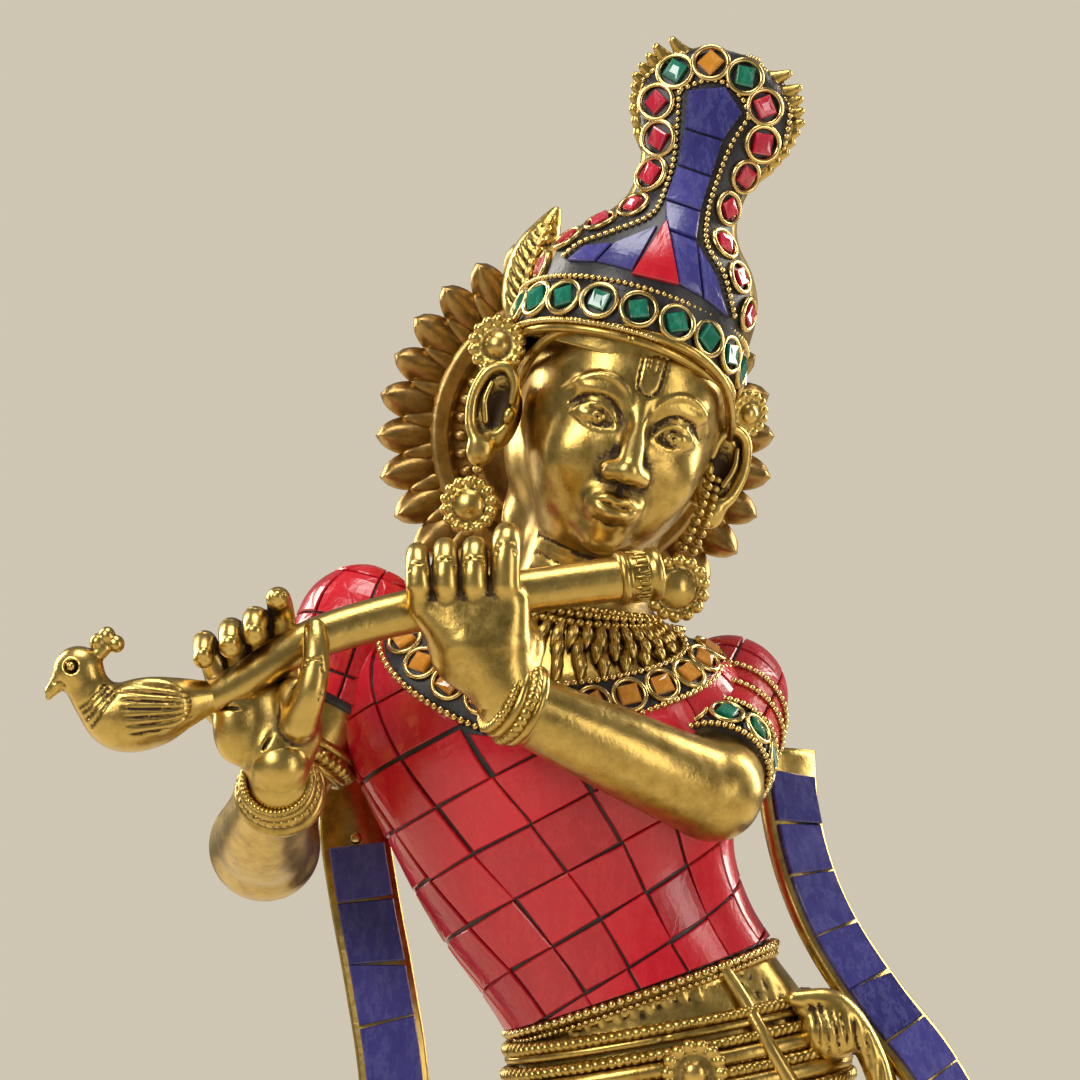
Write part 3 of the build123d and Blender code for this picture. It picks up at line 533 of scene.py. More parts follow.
# ------------------------------------------------------------------ node trees
def node(tree, kind, props=None, **inputs):
    """Adds a node. An input is named, or is i and its number; a socket given as value is linked."""
    made = tree.nodes.new(kind)
    for key, value in (props or {}).items():
        setattr(made, key, value)
    for key, value in inputs.items():
        socket = made.inputs[int(key[1:])] if key[1:].isdigit() else made.inputs[key.replace("_", " ")]
        if isinstance(value, bpy.types.NodeSocket):
            tree.links.new(value, socket)
        else:
            socket.default_value = value
    return made


def sums(tree, operation, a, b, clamp=False):
    """The output of a sum, a product or the like of two values."""
    return node(tree, "ShaderNodeMath", {"operation": operation, "use_clamp": clamp}, i0=a, i1=b).outputs[0]


def group(kind, name, inputs, outputs):
    """A node group with its sockets, and its input and output nodes. A socket is (name, type, default)."""
    tree = bpy.data.node_groups.new(name, kind)
    for label, socket, value in inputs:
        made = tree.interface.new_socket(label, in_out="INPUT", socket_type="NodeSocket" + socket)
        if value is not None:
            made.default_value = value
    for label, socket in outputs:
        tree.interface.new_socket(label, in_out="OUTPUT", socket_type="NodeSocket" + socket)
    return tree, tree.nodes.new("NodeGroupInput").outputs, tree.nodes.new("NodeGroupOutput").inputs


def turned(tree, turn, extra):
    """A rotation followed by a turn of (x, y, z) about its own axes."""
    extra = node(tree, "FunctionNodeEulerToRotation", Euler=node(tree, "ShaderNodeCombineXYZ",
            **extra).outputs[0])
    return node(tree, "FunctionNodeRotateRotation", {"rotation_space": "LOCAL"}, Rotation=turn,
        i1=extra.outputs[0]).outputs[0]


def give_or_take(tree, middle, given):
    """A value that differs a little from one copy to the next."""
    low, high = (sums(tree, work, middle, given["Unevenness"]) for work in ("SUBTRACT", "ADD"))
    return node(tree, "FunctionNodeRandomValue", {"data_type": "FLOAT"}, i2=low, i3=high,
        Seed=given["Seed"]).outputs[1]


def instances(tree, points, shape, turn, size, finish, out):
    """Ends a tree: the shape on the points, real and in its finish."""
    placed = node(tree, "GeometryNodeInstanceOnPoints", Points=points, Instance=shape,
        Rotation=turn, Scale=size)
    real = node(tree, "GeometryNodeRealizeInstances", Geometry=placed.outputs[0])
    real = node(tree, "GeometryNodeSetMaterial", Geometry=real.outputs[0], Material=finish)
    tree.links.new(real.outputs[0], out)


def bead_wire_tree():
    """Beads, or the lobes of a twisted wire, at an even pitch along edges."""
    tree, given, out = group("GeometryNodeTree", "bead wire",
        [("Line", "Geometry", None), ("Pitch", "Float", 1.1 * MM), ("Radius", "Float", 0.5 * MM),
            ("Stretch", "Float", 1.0), ("Lean", "Float", 0.0), ("Unevenness", "Float", 0.06),
            ("Seed", "Int", 3), ("Finish", "Material", None)], [("Beads", "Geometry")])
    curve = node(tree, "GeometryNodeMeshToCurve", Mesh=given["Line"])
    even = node(tree, "GeometryNodeResampleCurve", {"mode": "LENGTH"}, Curve=curve.outputs[0],
        Length=given["Pitch"])
    bead = node(tree, "GeometryNodeMeshIcoSphere", Radius=1.0, Subdivisions=2)
    soft = node(tree, "GeometryNodeSetShadeSmooth", Geometry=bead.outputs[0])
    along = node(tree, "GeometryNodeInputTangent")
    turn = node(tree, "FunctionNodeAlignRotationToVector", {"axis": "Z"}, Vector=along.outputs[0])
    turn = turned(tree, turn.outputs[0], {"X": given["Lean"]})
    width = sums(tree, "MULTIPLY", given["Radius"], give_or_take(tree, 1.0, given))
    size = node(tree, "ShaderNodeCombineXYZ", X=width, Y=width,
        Z=sums(tree, "MULTIPLY", width, given["Stretch"]))
    instances(tree, even.outputs[0], soft.outputs[0], turn, size.outputs[0], given["Finish"], out["Beads"])
    return tree


def seats_tree():
    """One shape on each seat. A seat carries the way it faces, the way it points and its size."""
    tree, given, out = group("GeometryNodeTree", "set at seats",
        [("Seats", "Geometry", None), ("Shape", "Object", None), ("Spin", "Float", 0.0),
            ("Tip", "Float", 0.0), ("Unevenness", "Float", 0.0), ("Seed", "Int", 5),
            ("Finish", "Material", None)], [("Set", "Geometry")])
    facing, pointing, size = (node(tree, "GeometryNodeInputNamedAttribute", {"data_type": "FLOAT_VECTOR"},
            Name=name).outputs[0] for name in ("facing", "pointing", "size"))
    turn = node(tree, "FunctionNodeAxesToRotation", {"primary_axis": "Z", "secondary_axis": "X"},
        Primary_Axis=facing, Secondary_Axis=pointing)
    index = node(tree, "GeometryNodeInputIndex").outputs[0]
    angles = {}
    for k, (axis, name) in enumerate((("X", "Tip"), ("Y", "Tip"), ("Z", "Spin"))):
        chosen = node(tree, "FunctionNodeRandomValue", {"data_type": "FLOAT"}, Seed=given["Seed"],
            i2=sums(tree, "MULTIPLY", given[name], -1.0), i3=given[name])
        tree.links.new(sums(tree, "ADD", index, 1000.0 * k), chosen.inputs["ID"])
        angles[axis] = chosen.outputs[1]
    turn = turned(tree, turn.outputs[0], angles)
    size = node(tree, "ShaderNodeVectorMath", {"operation": "SCALE"}, i0=size,
        Scale=give_or_take(tree, 1.0, given))
    shape = node(tree, "GeometryNodeObjectInfo", Object=given["Shape"])
    instances(tree, given["Seats"], shape.outputs["Geometry"], turn, size.outputs[0],
        given["Finish"], out["Set"])
    return tree


def petal_ring_tree():
    """Petals round a circle, each pointing outward and tipped up."""
    tree, given, out = group("GeometryNodeTree", "petal ring",
        [("Base", "Geometry", None), ("Petal", "Object", None), ("Count", "Int", 30),
            ("Radius", "Float", 24 * MM), ("Phase", "Float", 0.0), ("Tip", "Float", 0.0),
            ("Place", "Vector", None), ("Turn", "Rotation", None), ("Size", "Float", 1.0),
            ("Unevenness", "Float", 0.03), ("Seed", "Int", 7), ("Finish", "Material", None)],
        [("Petals", "Geometry")])
    circle = node(tree, "GeometryNodeMeshCircle", Vertices=given["Count"], Radius=given["Radius"])
    spin = node(tree, "ShaderNodeCombineXYZ", Z=given["Phase"])
    spin = node(tree, "FunctionNodeEulerToRotation", Euler=spin.outputs[0])
    circle = node(tree, "GeometryNodeTransform", Geometry=circle.outputs[0], Rotation=spin.outputs[0])
    place = node(tree, "GeometryNodeInputPosition")
    turn = node(tree, "FunctionNodeAxesToRotation", {"primary_axis": "Z", "secondary_axis": "X"},
        Primary_Axis=(0, 0, 1), Secondary_Axis=place.outputs[0])
    turn = turned(tree, turn.outputs[0], {"Y": given["Tip"]})
    petal = node(tree, "GeometryNodeObjectInfo", Object=given["Petal"])
    placed = node(tree, "GeometryNodeInstanceOnPoints", Points=circle.outputs[0],
        Instance=petal.outputs["Geometry"], Rotation=turn, Scale=give_or_take(tree, given["Size"], given))
    real = node(tree, "GeometryNodeRealizeInstances", Geometry=placed.outputs[0])
    moved = node(tree, "GeometryNodeTransform", Geometry=real.outputs[0], Translation=given["Place"],
        Rotation=given["Turn"])
    done = node(tree, "GeometryNodeSetMaterial", Geometry=moved.outputs[0], Material=given["Finish"])
    tree.links.new(done.outputs[0], out["Petals"])
    return tree


BEAD_WIRE, SEATS, PETAL_RING = bead_wire_tree(), seats_tree(), petal_ring_tree()


def grown(name, base, tree, smooth_faces=None, **inputs):
    """Runs a tree on a base mesh object and gives back its result as a plain mesh object."""
    step = base.modifiers.new(name, "NODES")
    step.node_group = tree
    keys = {item.name: item.identifier for item in tree.interface.items_tree if item.in_out == "INPUT"}
    for key, value in inputs.items():
        step[keys[key]] = value
    bpy.context.view_layer.update()
    mesh = bpy.data.meshes.new_from_object(base.evaluated_get(bpy.context.evaluated_depsgraph_get()))
    mesh.name = name
    for attribute in [a.name for a in mesh.attributes if a.name in ("facing", "pointing", "size")]:
        mesh.attributes.remove(mesh.attributes[attribute])
    if smooth_faces is not None:
        mesh.polygons.foreach_set("use_smooth", np.full(len(mesh.polygons), smooth_faces))
    bpy.data.objects.remove(base)
    return in_scene(name, mesh)


def wire_base(lines):
    """A mesh of edges along lines given in millimetres; a line is (points, closed)."""
    verts, edges = [], []
    for line, closed in lines:
        first = len(verts)
        verts += [tuple(np.asarray(p[:3]) * MM) for p in line]
        edges += [(first + i, first + i + 1) for i in range(len(line) - 1)] + ([(len(verts) - 1, first)]
            if closed else [])
    mesh = bpy.data.meshes.new("line")
    mesh.from_pydata(verts, edges, [])
    return in_scene("line", mesh)


def bead_wire(name, lines, finish, radius=BEAD, pitch=BEAD_PITCH, stretch=1.0, lean=0.0):
    """A row of beads, or a twisted wire, along lines."""
    return grown(name, wire_base(lines), BEAD_WIRE, Pitch=pitch * MM, Radius=radius * MM, Stretch=stretch,
        Lean=lean, Unevenness=0.06, Finish=finish)


def at_seats(name, seats, shape, finish, spin=0.0, tip=0.0, uneven=0.0, seed=5, smooth_faces=None):
    """Sets a template on seats of (place, facing, pointing, size)."""
    mesh = bpy.data.meshes.new("seats")
    mesh.from_pydata([tuple(np.asarray(s[0]) * MM) for s in seats], [], [])
    for key, column in (("facing", 1), ("pointing", 2), ("size", 3)):
        values = np.array([np.ones(3) * s[column] for s in seats], np.float32)
        mesh.attributes.new(key, "FLOAT_VECTOR", "POINT").data.foreach_set("vector", values.ravel())
    return grown(name, in_scene("seats", mesh), SEATS, smooth_faces, Shape=shape, Spin=spin, Tip=tip,
        Unevenness=uneven, Seed=seed, Finish=finish)


def joined(name, *pieces):
    """Several mesh objects as one."""
    verts, faces, slots, smooths, finishes = [], [], [], [], []
    count = 0
    for piece in pieces:
        mesh = piece.data
        material = mesh.materials[mesh.polygons[0].material_index]
        if material not in finishes:
            finishes.append(material)
        verts.append(np.array([v.co for v in mesh.vertices]))
        faces += [[i + count for i in p.vertices] for p in mesh.polygons]
        slots += [finishes.index(material)] * len(mesh.polygons)
        smooths += [p.use_smooth for p in mesh.polygons]
        count += len(mesh.vertices)
    mesh = bpy.data.meshes.new(name)
    mesh.from_pydata(np.vstack(verts).tolist(), [], faces)
    for key in ("relief", "tone"):
        if any(key in p.data.attributes for p in pieces):
            column = []
            for p in pieces:
                values = np.zeros(len(p.data.vertices), np.float32)
                if key in p.data.attributes:
                    p.data.attributes[key].data.foreach_get("value", values)
                column.append(values)
            mesh.attributes.new(key, "FLOAT", "POINT").data.foreach_set("value", np.concatenate(column))
    for finish in finishes:
        mesh.materials.append(finish)
    mesh.polygons.foreach_set("material_index", slots)
    mesh.polygons.foreach_set("use_smooth", smooths)
    for piece in pieces:
        bpy.data.objects.remove(piece)
    return in_scene(name, mesh)


# ------------------------------------------------------------------ finishes
def ramp(tree, factor, stops):
    """A colour ramp; a stop is (place, grey or colour)."""
    made = node(tree, "ShaderNodeValToRGB", Fac=factor)
    elements = made.color_ramp.elements
    while len(elements) < len(stops):
        elements.new(0.5)
    for element, (place, value) in zip(elements, stops):
        element.position = place
        element.color = (value, value, value, 1) if isinstance(value, float) else (*value, 1)
    return made.outputs["Color"]


def noise(tree, scale, detail=4.0, rough=0.55, stretch=(1, 1, 1)):
    """Noise in object coordinates, one unit being a metre."""
    place = node(tree, "ShaderNodeTexCoord").outputs["Object"]
    place = node(tree, "ShaderNodeMapping", Vector=place, Scale=stretch).outputs[0]
    return node(tree, "ShaderNodeTexNoise", Vector=place, Scale=scale, Detail=detail,
        Roughness=rough).outputs["Fac"]


def mixed(tree, factor, a, b):
    """One colour going over into another."""
    return node(tree, "ShaderNodeMix", {"data_type": "RGBA"}, i0=factor, i6=a, i7=b).outputs[2]


def patina_and_shade_group():
    """Where dark sits: patina and painted shade in the hollows, and patina in patches of the flats. Worn is
    where hands polish.
    """
    tree, given, out = group("ShaderNodeTree", "patina",
        [("Depth", "Float", 1.0), ("Patches", "Float", 0.3)], [("Dark", "Float"), ("Worn", "Float"),
            ("Mottle", "Float")])
    relief = node(tree, "ShaderNodeAttribute", {"attribute_name": "relief"}).outputs["Fac"]
    blotch = noise(tree, 190.0, 5.0, 0.62)
    speck = noise(tree, 1500.0, 3.0, 0.6)
    # Hollows are darkened both as real patina and as painted shade, the shadow that would gather in them.
    hollow = sums(tree, "MULTIPLY", sums(tree, "MULTIPLY", relief, -1.0), given["Depth"])
    spread = sums(tree, "MULTIPLY", sums(tree, "SUBTRACT", blotch, 0.5), 0.55)
    hollow = sums(tree, "ADD", sums(tree, "ADD", hollow, spread),
        sums(tree, "MULTIPLY", sums(tree, "SUBTRACT", speck, 0.5), 0.25))
    dark = ramp(tree, hollow, [(0.10, 0.0), (0.34, 0.45), (0.62, 1.0)])
    patches = ramp(tree, blotch, [(0.56, 0.0), (0.74, 1.0)])
    dark = sums(tree, "ADD", dark, sums(tree, "MULTIPLY", patches, given["Patches"]), True)
    tree.links.new(dark, out["Dark"])
    tree.links.new(ramp(tree, relief, [(0.10, 0.0), (0.42, 1.0)]), out["Worn"])
    tree.links.new(noise(tree, 420.0, 6.0, 0.68), out["Mottle"])
    return tree


def scratches_group():
    """The skin of hand-finished metal: fine file marks, small dents and a cast grain."""
    tree, given, out = group("ShaderNodeTree", "file marks", [("Strength", "Float", 0.2)],
        [("Normal", "Vector"), ("Marks", "Float")])
    marks = sums(tree, "MAXIMUM", noise(tree, 900.0, 2.0, 0.5, (1, 0.3, 0.12)),
        noise(tree, 700.0, 2.0, 0.5, (0.15, 0.4, 1)))
    dents = noise(tree, 260.0, 3.0, 0.55)
    grain = noise(tree, 2600.0, 2.0, 0.5)
    height = sums(tree, "ADD", sums(tree, "MULTIPLY", marks, 0.35), sums(tree, "MULTIPLY", dents, 1.0))
    height = sums(tree, "ADD", height, sums(tree, "MULTIPLY", grain, 0.22))
    bump = node(tree, "ShaderNodeBump", Strength=given["Strength"], Distance=0.5 * MM, Height=height)
    tree.links.new(bump.outputs[0], out["Normal"])
    tree.links.new(marks, out["Marks"])
    return tree


def stone_group():
    """Cut stone: every chip its own tone, clouds and veins inside it, and a ground face."""
    tree, given, out = group("ShaderNodeTree", "cut stone", [("Strength", "Float", 0.1)],
        [("Tone", "Float"), ("Cloud", "Float"), ("Vein", "Float"), ("Normal", "Vector")])
    tone = node(tree, "ShaderNodeAttribute", {"attribute_name": "tone"}).outputs["Fac"]
    cloud = noise(tree, 330.0, 5.0, 0.6)
    vein = ramp(tree, noise(tree, 620.0, 6.0, 0.7, (1, 1, 0.35)), [(0.50, 0.0), (0.56, 1.0), (0.62, 0.0)])
    height = sums(tree, "ADD", noise(tree, 240.0, 2.0, 0.5),
        sums(tree, "MULTIPLY", noise(tree, 1900.0, 3.0, 0.6), 0.25))
    bump = node(tree, "ShaderNodeBump", Strength=given["Strength"], Distance=0.4 * MM, Height=height)
    tree.links.new(tone, out["Tone"])
    tree.links.new(cloud, out["Cloud"])
    tree.links.new(vein, out["Vein"])
    tree.links.new(bump.outputs[0], out["Normal"])
    return tree


PATINA_AND_SHADE, MARKS, CUT = patina_and_shade_group(), scratches_group(), stone_group()


def blank(name):
    """A new material, its tree and its shader."""
    finish = bpy.data.materials.new(name)
    finish.use_nodes = True
    return finish, finish.node_tree, finish.node_tree.nodes["Principled BSDF"]


def plug(tree, shader, **sockets):
    """Links values to the shader's sockets."""
    for name, value in sockets.items():
        tree.links.new(value, shader.inputs[name.replace("_", " ")])


def metal(name, bright, mid, dark, depth=1.0, patches=0.3, rough=(0.2, 0.4), marks=0.2):
    """Hand-finished cast metal with patina and painted shade in its hollows."""
    finish, tree, shader = blank(name)
    patina = node(tree, "ShaderNodeGroup", {"node_tree": PATINA_AND_SHADE}, Depth=depth, Patches=patches).outputs
    skin = node(tree, "ShaderNodeGroup", {"node_tree": MARKS}, Strength=marks).outputs
    tint = mixed(tree, ramp(tree, patina["Mottle"], [(0.32, 0.0), (0.68, 1.0)]), (*mid, 1), (*bright, 1))
    tint = mixed(tree, patina["Worn"], tint, (*bright, 1))
    # The dark colour goes into the hollows: real patina, and painted shade in place of their shadow.
    tint = mixed(tree, patina["Dark"], tint, (*dark, 1))
    dull = node(tree, "ShaderNodeMapRange", Value=patina["Mottle"], To_Min=rough[0],
        To_Max=rough[1]).outputs[0]
    dull = sums(tree, "ADD", dull, sums(tree, "MULTIPLY", patina["Dark"], 0.28), True)
    shine = sums(tree, "SUBTRACT", 1.0, sums(tree, "MULTIPLY", patina["Dark"], 0.35))
    plug(tree, shader, Base_Color=tint, Roughness=dull, Metallic=shine, Normal=skin["Normal"])
    return finish


def stone(name, deep, light, vein, rough=0.2, bump=0.12, veined=0.25, coat=0.5):
    """Cut and ground stone or glass."""
    finish, tree, shader = blank(name)
    cut = node(tree, "ShaderNodeGroup", {"node_tree": CUT}, Strength=bump).outputs
    share = sums(tree, "ADD", sums(tree, "MULTIPLY", cut["Tone"], 0.6),
        sums(tree, "MULTIPLY", cut["Cloud"], 0.5), True)
    tint = mixed(tree, ramp(tree, share, [(0.15, 0.0), (0.85, 1.0)]), (*deep, 1), (*light, 1))
    tint = mixed(tree, sums(tree, "MULTIPLY", cut["Vein"], veined), tint, (*vein, 1))
    dull = node(tree, "ShaderNodeMapRange", Value=cut["Cloud"], To_Min=rough * 0.7,
        To_Max=rough * 1.5).outputs[0]
    plug(tree, shader, Base_Color=tint, Roughness=dull, Normal=cut["Normal"])
    shader.inputs["Coat Weight"].default_value = coat
    shader.inputs["Coat Roughness"].default_value = 0.12
    return finish


def lac_finish():
    """The black lac that the stones are bedded in."""
    finish, tree, shader = blank("black lac")
    cut = node(tree, "ShaderNodeGroup", {"node_tree": CUT}, Strength=0.5).outputs
    tint = mixed(tree, ramp(tree, cut["Cloud"], [(0.35, 0.0), (0.75, 1.0)]), (0.006, 0.006, 0.009, 1),
        (0.03, 0.028, 0.03, 1))
    dull = node(tree, "ShaderNodeMapRange", Value=cut["Cloud"], To_Min=0.25, To_Max=0.6).outputs[0]
    plug(tree, shader, Base_Color=tint, Roughness=dull, Normal=cut["Normal"])
    return finish


# The third colour of each metal is the dark of its hollows: patina and painted shade.
BRASS = metal("aged brass", (0.56, 0.385, 0.110), (0.345, 0.222, 0.052), (0.040, 0.020, 0.006), 1.7, 0.32)
DARK_BRASS = metal("halo brass", (0.47, 0.30, 0.10), (0.28, 0.165, 0.05), (0.035, 0.017, 0.007), 1.6, 0.35,
    (0.26, 0.46), 0.25)
WIRE_BRASS = metal("brass wire", (0.74, 0.56, 0.25), (0.56, 0.37, 0.11), (0.09, 0.05, 0.02), 0.6, 0.2,
    (0.16, 0.34), 0.08)
STEEL = metal("zinc-plated steel", (0.62, 0.62, 0.6), (0.42, 0.42, 0.42), (0.12, 0.1, 0.08), 0.8, 0.3,
    (0.28, 0.5), 0.2)
CORAL = stone("coral red stone", (0.33, 0.004, 0.012), (0.56, 0.007, 0.020), (0.70, 0.06, 0.06), 0.22,
    0.16, 0.18, 0.2)
LAPIS = stone("lapis blue stone", (0.014, 0.014, 0.110), (0.050, 0.045, 0.235), (0.15, 0.15, 0.36), 0.24,
    0.14, 0.28, 0.25)
GREEN = stone("green glass stone", (0.0, 0.10, 0.06), (0.01, 0.30, 0.17), (0.1, 0.5, 0.35), 0.12,
    0.05, 0.2, 0.8)
RUBY = stone("ruby red stone", (0.42, 0.006, 0.03), (0.75, 0.03, 0.07), (0.95, 0.3, 0.3), 0.12,
    0.05, 0.2, 0.8)
AMBER = stone("amber stone", (0.50, 0.18, 0.012), (0.80, 0.38, 0.03), (0.95, 0.6, 0.2), 0.12,
    0.05, 0.2, 0.8)
LAC = lac_finish()


# ------------------------------------------------------------------ templates for the trees
def ring_template():
    """A bezel ring round Z, its middle radius 1."""
    wire, sides = WIRE / RING, 30
    verts, faces = [], []
    for i in range(sides):
        a = 2 * math.pi * i / sides
        for j in range(8):
            b = 2 * math.pi * j / 8
            r = 1 + wire * math.cos(b)
            verts.append((r * math.cos(a), r * math.sin(a), wire * 1.15 * math.sin(b)))
    for i in range(sides):
        for j in range(8):
            a, b, k = i * 8, (i + 1) % sides * 8, (j + 1) % 8
            faces.append([a + j, b + j, b + k, a + k])
    return mesh_of("ring", verts, faces, BRASS)


def chip_template():
    """A squarish cut chip, its side 1, with a ground chamfer and a flat that is a little out of true."""
    rows = [(0.5, -0.22), (0.5, 0.08), (0.43, 0.17), (0.2, 0.185)]
    corners = [(-1, -1), (1, -0.94), (0.95, 1), (-1, 0.93)]
    verts = [(x * s, y * s, h + 0.03 * x * (h > 0)) for s, h in rows for x, y in corners]
    faces = walls(4, 4)
    return mesh_of("chip", verts, faces + [[3, 2, 1, 0], [12, 13, 14, 15]], BRASS)


RING_SHAPE, CHIP_SHAPE = ring_template(), chip_template()


# ------------------------------------------------------------------ head
def eye(clay, side):
    """One eye of the face: a socket, a ball, two lids, a crease and a ringed iris."""
    x, z = 6.3 * side, -0.7
    across = lambda points: [(side * a, b) for a, b in points]
    clay.egg((x, -19.2, z + 0.2), (4.6, 3.4, 2.7), 1.8, cut=True)
    clay.front()
    clay.egg((x, float(clay.on_front(x, z)) + 1.15, z), (3.5, 2.1, 1.75), 0.3)
    clay.front()
    clay.draw(across([(2.9, -1.9), (4.3, 0.35), (6.3, 1.15), (8.4, 0.6), (10.3, -1.1)]), (0.52, 0.25),
        -0.05, cut=False)
    clay.draw(across([(3.1, -2.0), (4.9, -2.65), (7.0, -2.6), (10.0, -1.2)]), (0.36, 0.18), 0.0, cut=False)
    clay.draw(across([(3.0, 0.6), (4.6, 2.0), (6.6, 2.6), (8.9, 1.9), (10.8, 0.2)]), (0.34, 0.2), 0.0, 0.35)
    circle = [(x + 1.15 * math.cos(a), z - 0.15 + 1.1 * math.sin(a)) for a in turns(10)]
    clay.draw(circle, 0.2, 0.0, 0.2, closed=True)
    clay.draw([(x - 0.05, z - 0.15), (x + 0.05, z - 0.15)], 0.36, 0.1, 0.12)
    brow = [(1.9, 2.6), (3.6, 4.9), (6.6, 5.9), (9.8, 4.7), (12.2, 1.9)]
    clay.draw(across(brow), (0.55, 0.15), 0.05, 0.5, cut=False)


def head():
    """Own design: eyes at mid height, nose and mouth on the usual thirds, everything calm."""
    clay = Clay((-20, -24, -34), (20, 22, 24), 0.32)
    clay.egg((0, 1.5, 4), (16.2, 17, 19), 1.0)
    clay.egg((0, -3.6, -4), (14.2, 14.2, 17.6), 3.0)
    clay.egg((0, -5.2, -12), (10.4, 10.4, 9.4), 3.0)
    clay.egg((0, -8, 7), (12.4, 9.2, 9), 3.0)
    for side in (-1, 1):
        clay.egg((7.2 * side, -10.6, -7.2), (4.8, 4.4, 5.4), 3.0)
        clay.egg((6.0 * side, -14.0, 3.6), (4.6, 2.0, 1.6), 2.0)
    clay.egg((0, -12.8, -18.2), (3.7, 3.5, 3.4), 2.5)
    clay.egg((0, -16.2, -13.6), (4.4, 2.4, 3.4), 2.2)
    clay.stack([(0, 2, -36, 9.4, 9, 0), (0, 1.5, -26, 8.8, 8.8, 0), (0, 1, -16, 9, 9, 0)], 2.5)
    clay.tube([(0, -15.8, 3.4, 1.7), (0, -17.2, 0.5, 1.6), (0, -19.1, -4.0, 1.8), (0, -20.6, -7.4, 2.1)],
        1.6)
    clay.egg((0, -20.8, -8.0), (2.1, 2.0, 1.8), 1.0)
    for side in (-1, 1):
        clay.egg((2.2 * side, -18.6, -8.3), (1.9, 2.6, 1.7), 1.3)
        clay.egg((1.4 * side, -19.8, -10.1), (0.7, 1.0, 0.6), 0.5, cut=True)
        eye(clay, side)
    clay.front()
    clay.draw([(0, -10.6), (0, -11.7)], 0.5, -0.1, 0.5)
    clay.draw([(-3.7, -13.4), (-1.5, -12.65), (0, -12.95), (1.5, -12.65), (3.7, -13.4)], (0.9, 0.3), 0.1,
        0.45, cut=False)
    clay.draw([(-3.1, -14.1), (-1.2, -14.75), (1.2, -14.75), (3.1, -14.1)], (1.15, 0.4), 0.1,
        0.45, cut=False)
    clay.front()
    clay.draw([(-4.0, -13.35), (-1.6, -13.5), (0, -13.8), (1.6, -13.5), (4.0, -13.35)],
        (0.22, 0.16), -0.05, 0.3)
    clay.draw([(-2.2, -16.5), (0, -17.0), (2.2, -16.5)], 0.3, 0.0, 0.8)
    for side in (-1, 1):
        clay.draw([(3.7 * side, -7.9), (4.1 * side, -9.2), (3.3 * side, -10.3)], (0.24, 0.1), 0.0, 0.3)
    outer = [(-1.9, 12.6), (-1.85, 6.4), (-1.2, 4.9), (0, 4.4), (1.2, 4.9), (1.85, 6.4), (1.9, 12.6)]
    clay.draw(outer, 0.3, 0.0, 0.2)
    clay.draw([(0.45 * a, 0.55 * (b - 12.6) + 12.6) for a, b in outer], 0.22, 0.0, 0.15)
    for z in (-22.6, -25.2, -27.8):
        clay.draw([(-8, z + 1.2), (0, z), (8, z + 1.2)], 0.26, 0.0, 0.3)
    hair(clay)
    return cast("head", clay, "head_casting", place=HEAD)


def hair(clay):
    """Combed locks from under the crown down the back of the head, ending in curls at the neck."""
    clay.egg((0, 6.5, -5), (16.4, 13.8, 16.5), 1.5)
    clay.egg((0, 9.5, -18), (13.0, 9.5, 10.0), 2.0)
    for angle in np.radians(np.arange(-84, 85, 8.5)):
        s, c = math.sin(angle), math.cos(angle)
        lock = [(16.6 * s, 5 + 14.4 * c, 9), (17.0 * s, 6 + 14.6 * c, 0), (15.8 * s, 7 + 13.8 * c, -9),
            (13.4 * s, 8 + 12.0 * c, -17), (11.0 * s, 8.5 + 10.0 * c, -24)]
        line = smooth([(*p, 0.5) for p in lock], 0.6)
        line[:, 0] += 0.5 * np.sin(line[:, 2] * 0.45 + angle * 5)
        clay.tube(line, 0.4, cut=True)
        clay.egg((11.4 * s, 8.5 + 10.4 * c, -23.5), (1.9, 1.7, 1.9), 0.4)


def ear(side):
    """A long ear with a rim, a hollow and a heavy lobe."""
    clay = Clay((-28, -9, -14), (-12, 7, 11), 0.26)
    tilt = ("Z", -18)
    clay.egg((-17.6, -0.6, -0.4), (4.0, 1.7, 7.3), 0.8, turn=tilt)
    clay.egg((-16.0, 1.6, -1), (3.4, 3.4, 6.0), 1.0)
    clay.egg((-17.5, -2.6, 0.2), (2.3, 1.7, 4.6), 0.5, cut=True)
    rim = [(-15.4, -2.7, 1.5, 0.6), (-15.8, -2.6, 4.6, 0.85), (-17.6, -2.2, 6.6, 0.95),
        (-20.2, -1.6, 5.2, 0.95), (-21.3, -1.2, 1.0, 0.9), (-20.6, -1.3, -3.4, 0.95),
        (-18.8, -1.9, -6.2, 1.2)]
    clay.tube(smooth(rim, 0.6), 0.35)
    clay.tube(smooth([(-19.2, -2.0, 3.6, 0.4), (-19.5, -2.0, 0.6, 0.5), (-18.5, -2.2, -2.6, 0.5)], 0.6),
        0.4)
    clay.egg((-15.4, -3.0, -0.8), (0.9, 0.9, 1.3), 0.5)
    clay.egg((-17.9, -1.7, -7.2), (2.3, 1.6, 2.7), 0.6)
    place = HEAD @ Matrix.Translation((-3.0, -1.6, -3.6)) if side < 0 else HEAD @ Matrix.Translation((0, 0,
            -3.0)) @ Matrix.Scale(-1, 4, (1, 0, 0))
    verts, quads, relief = clay.skin()
    quads = quads if side < 0 else quads[:, ::-1]
    verts = placed(verts, place)
    name, target = ("right ear", "right_ear") if side < 0 else ("left ear", "left_ear")
    show(mesh_of(name, verts, quads, BRASS, {"relief": relief}), "aged_brass", target)


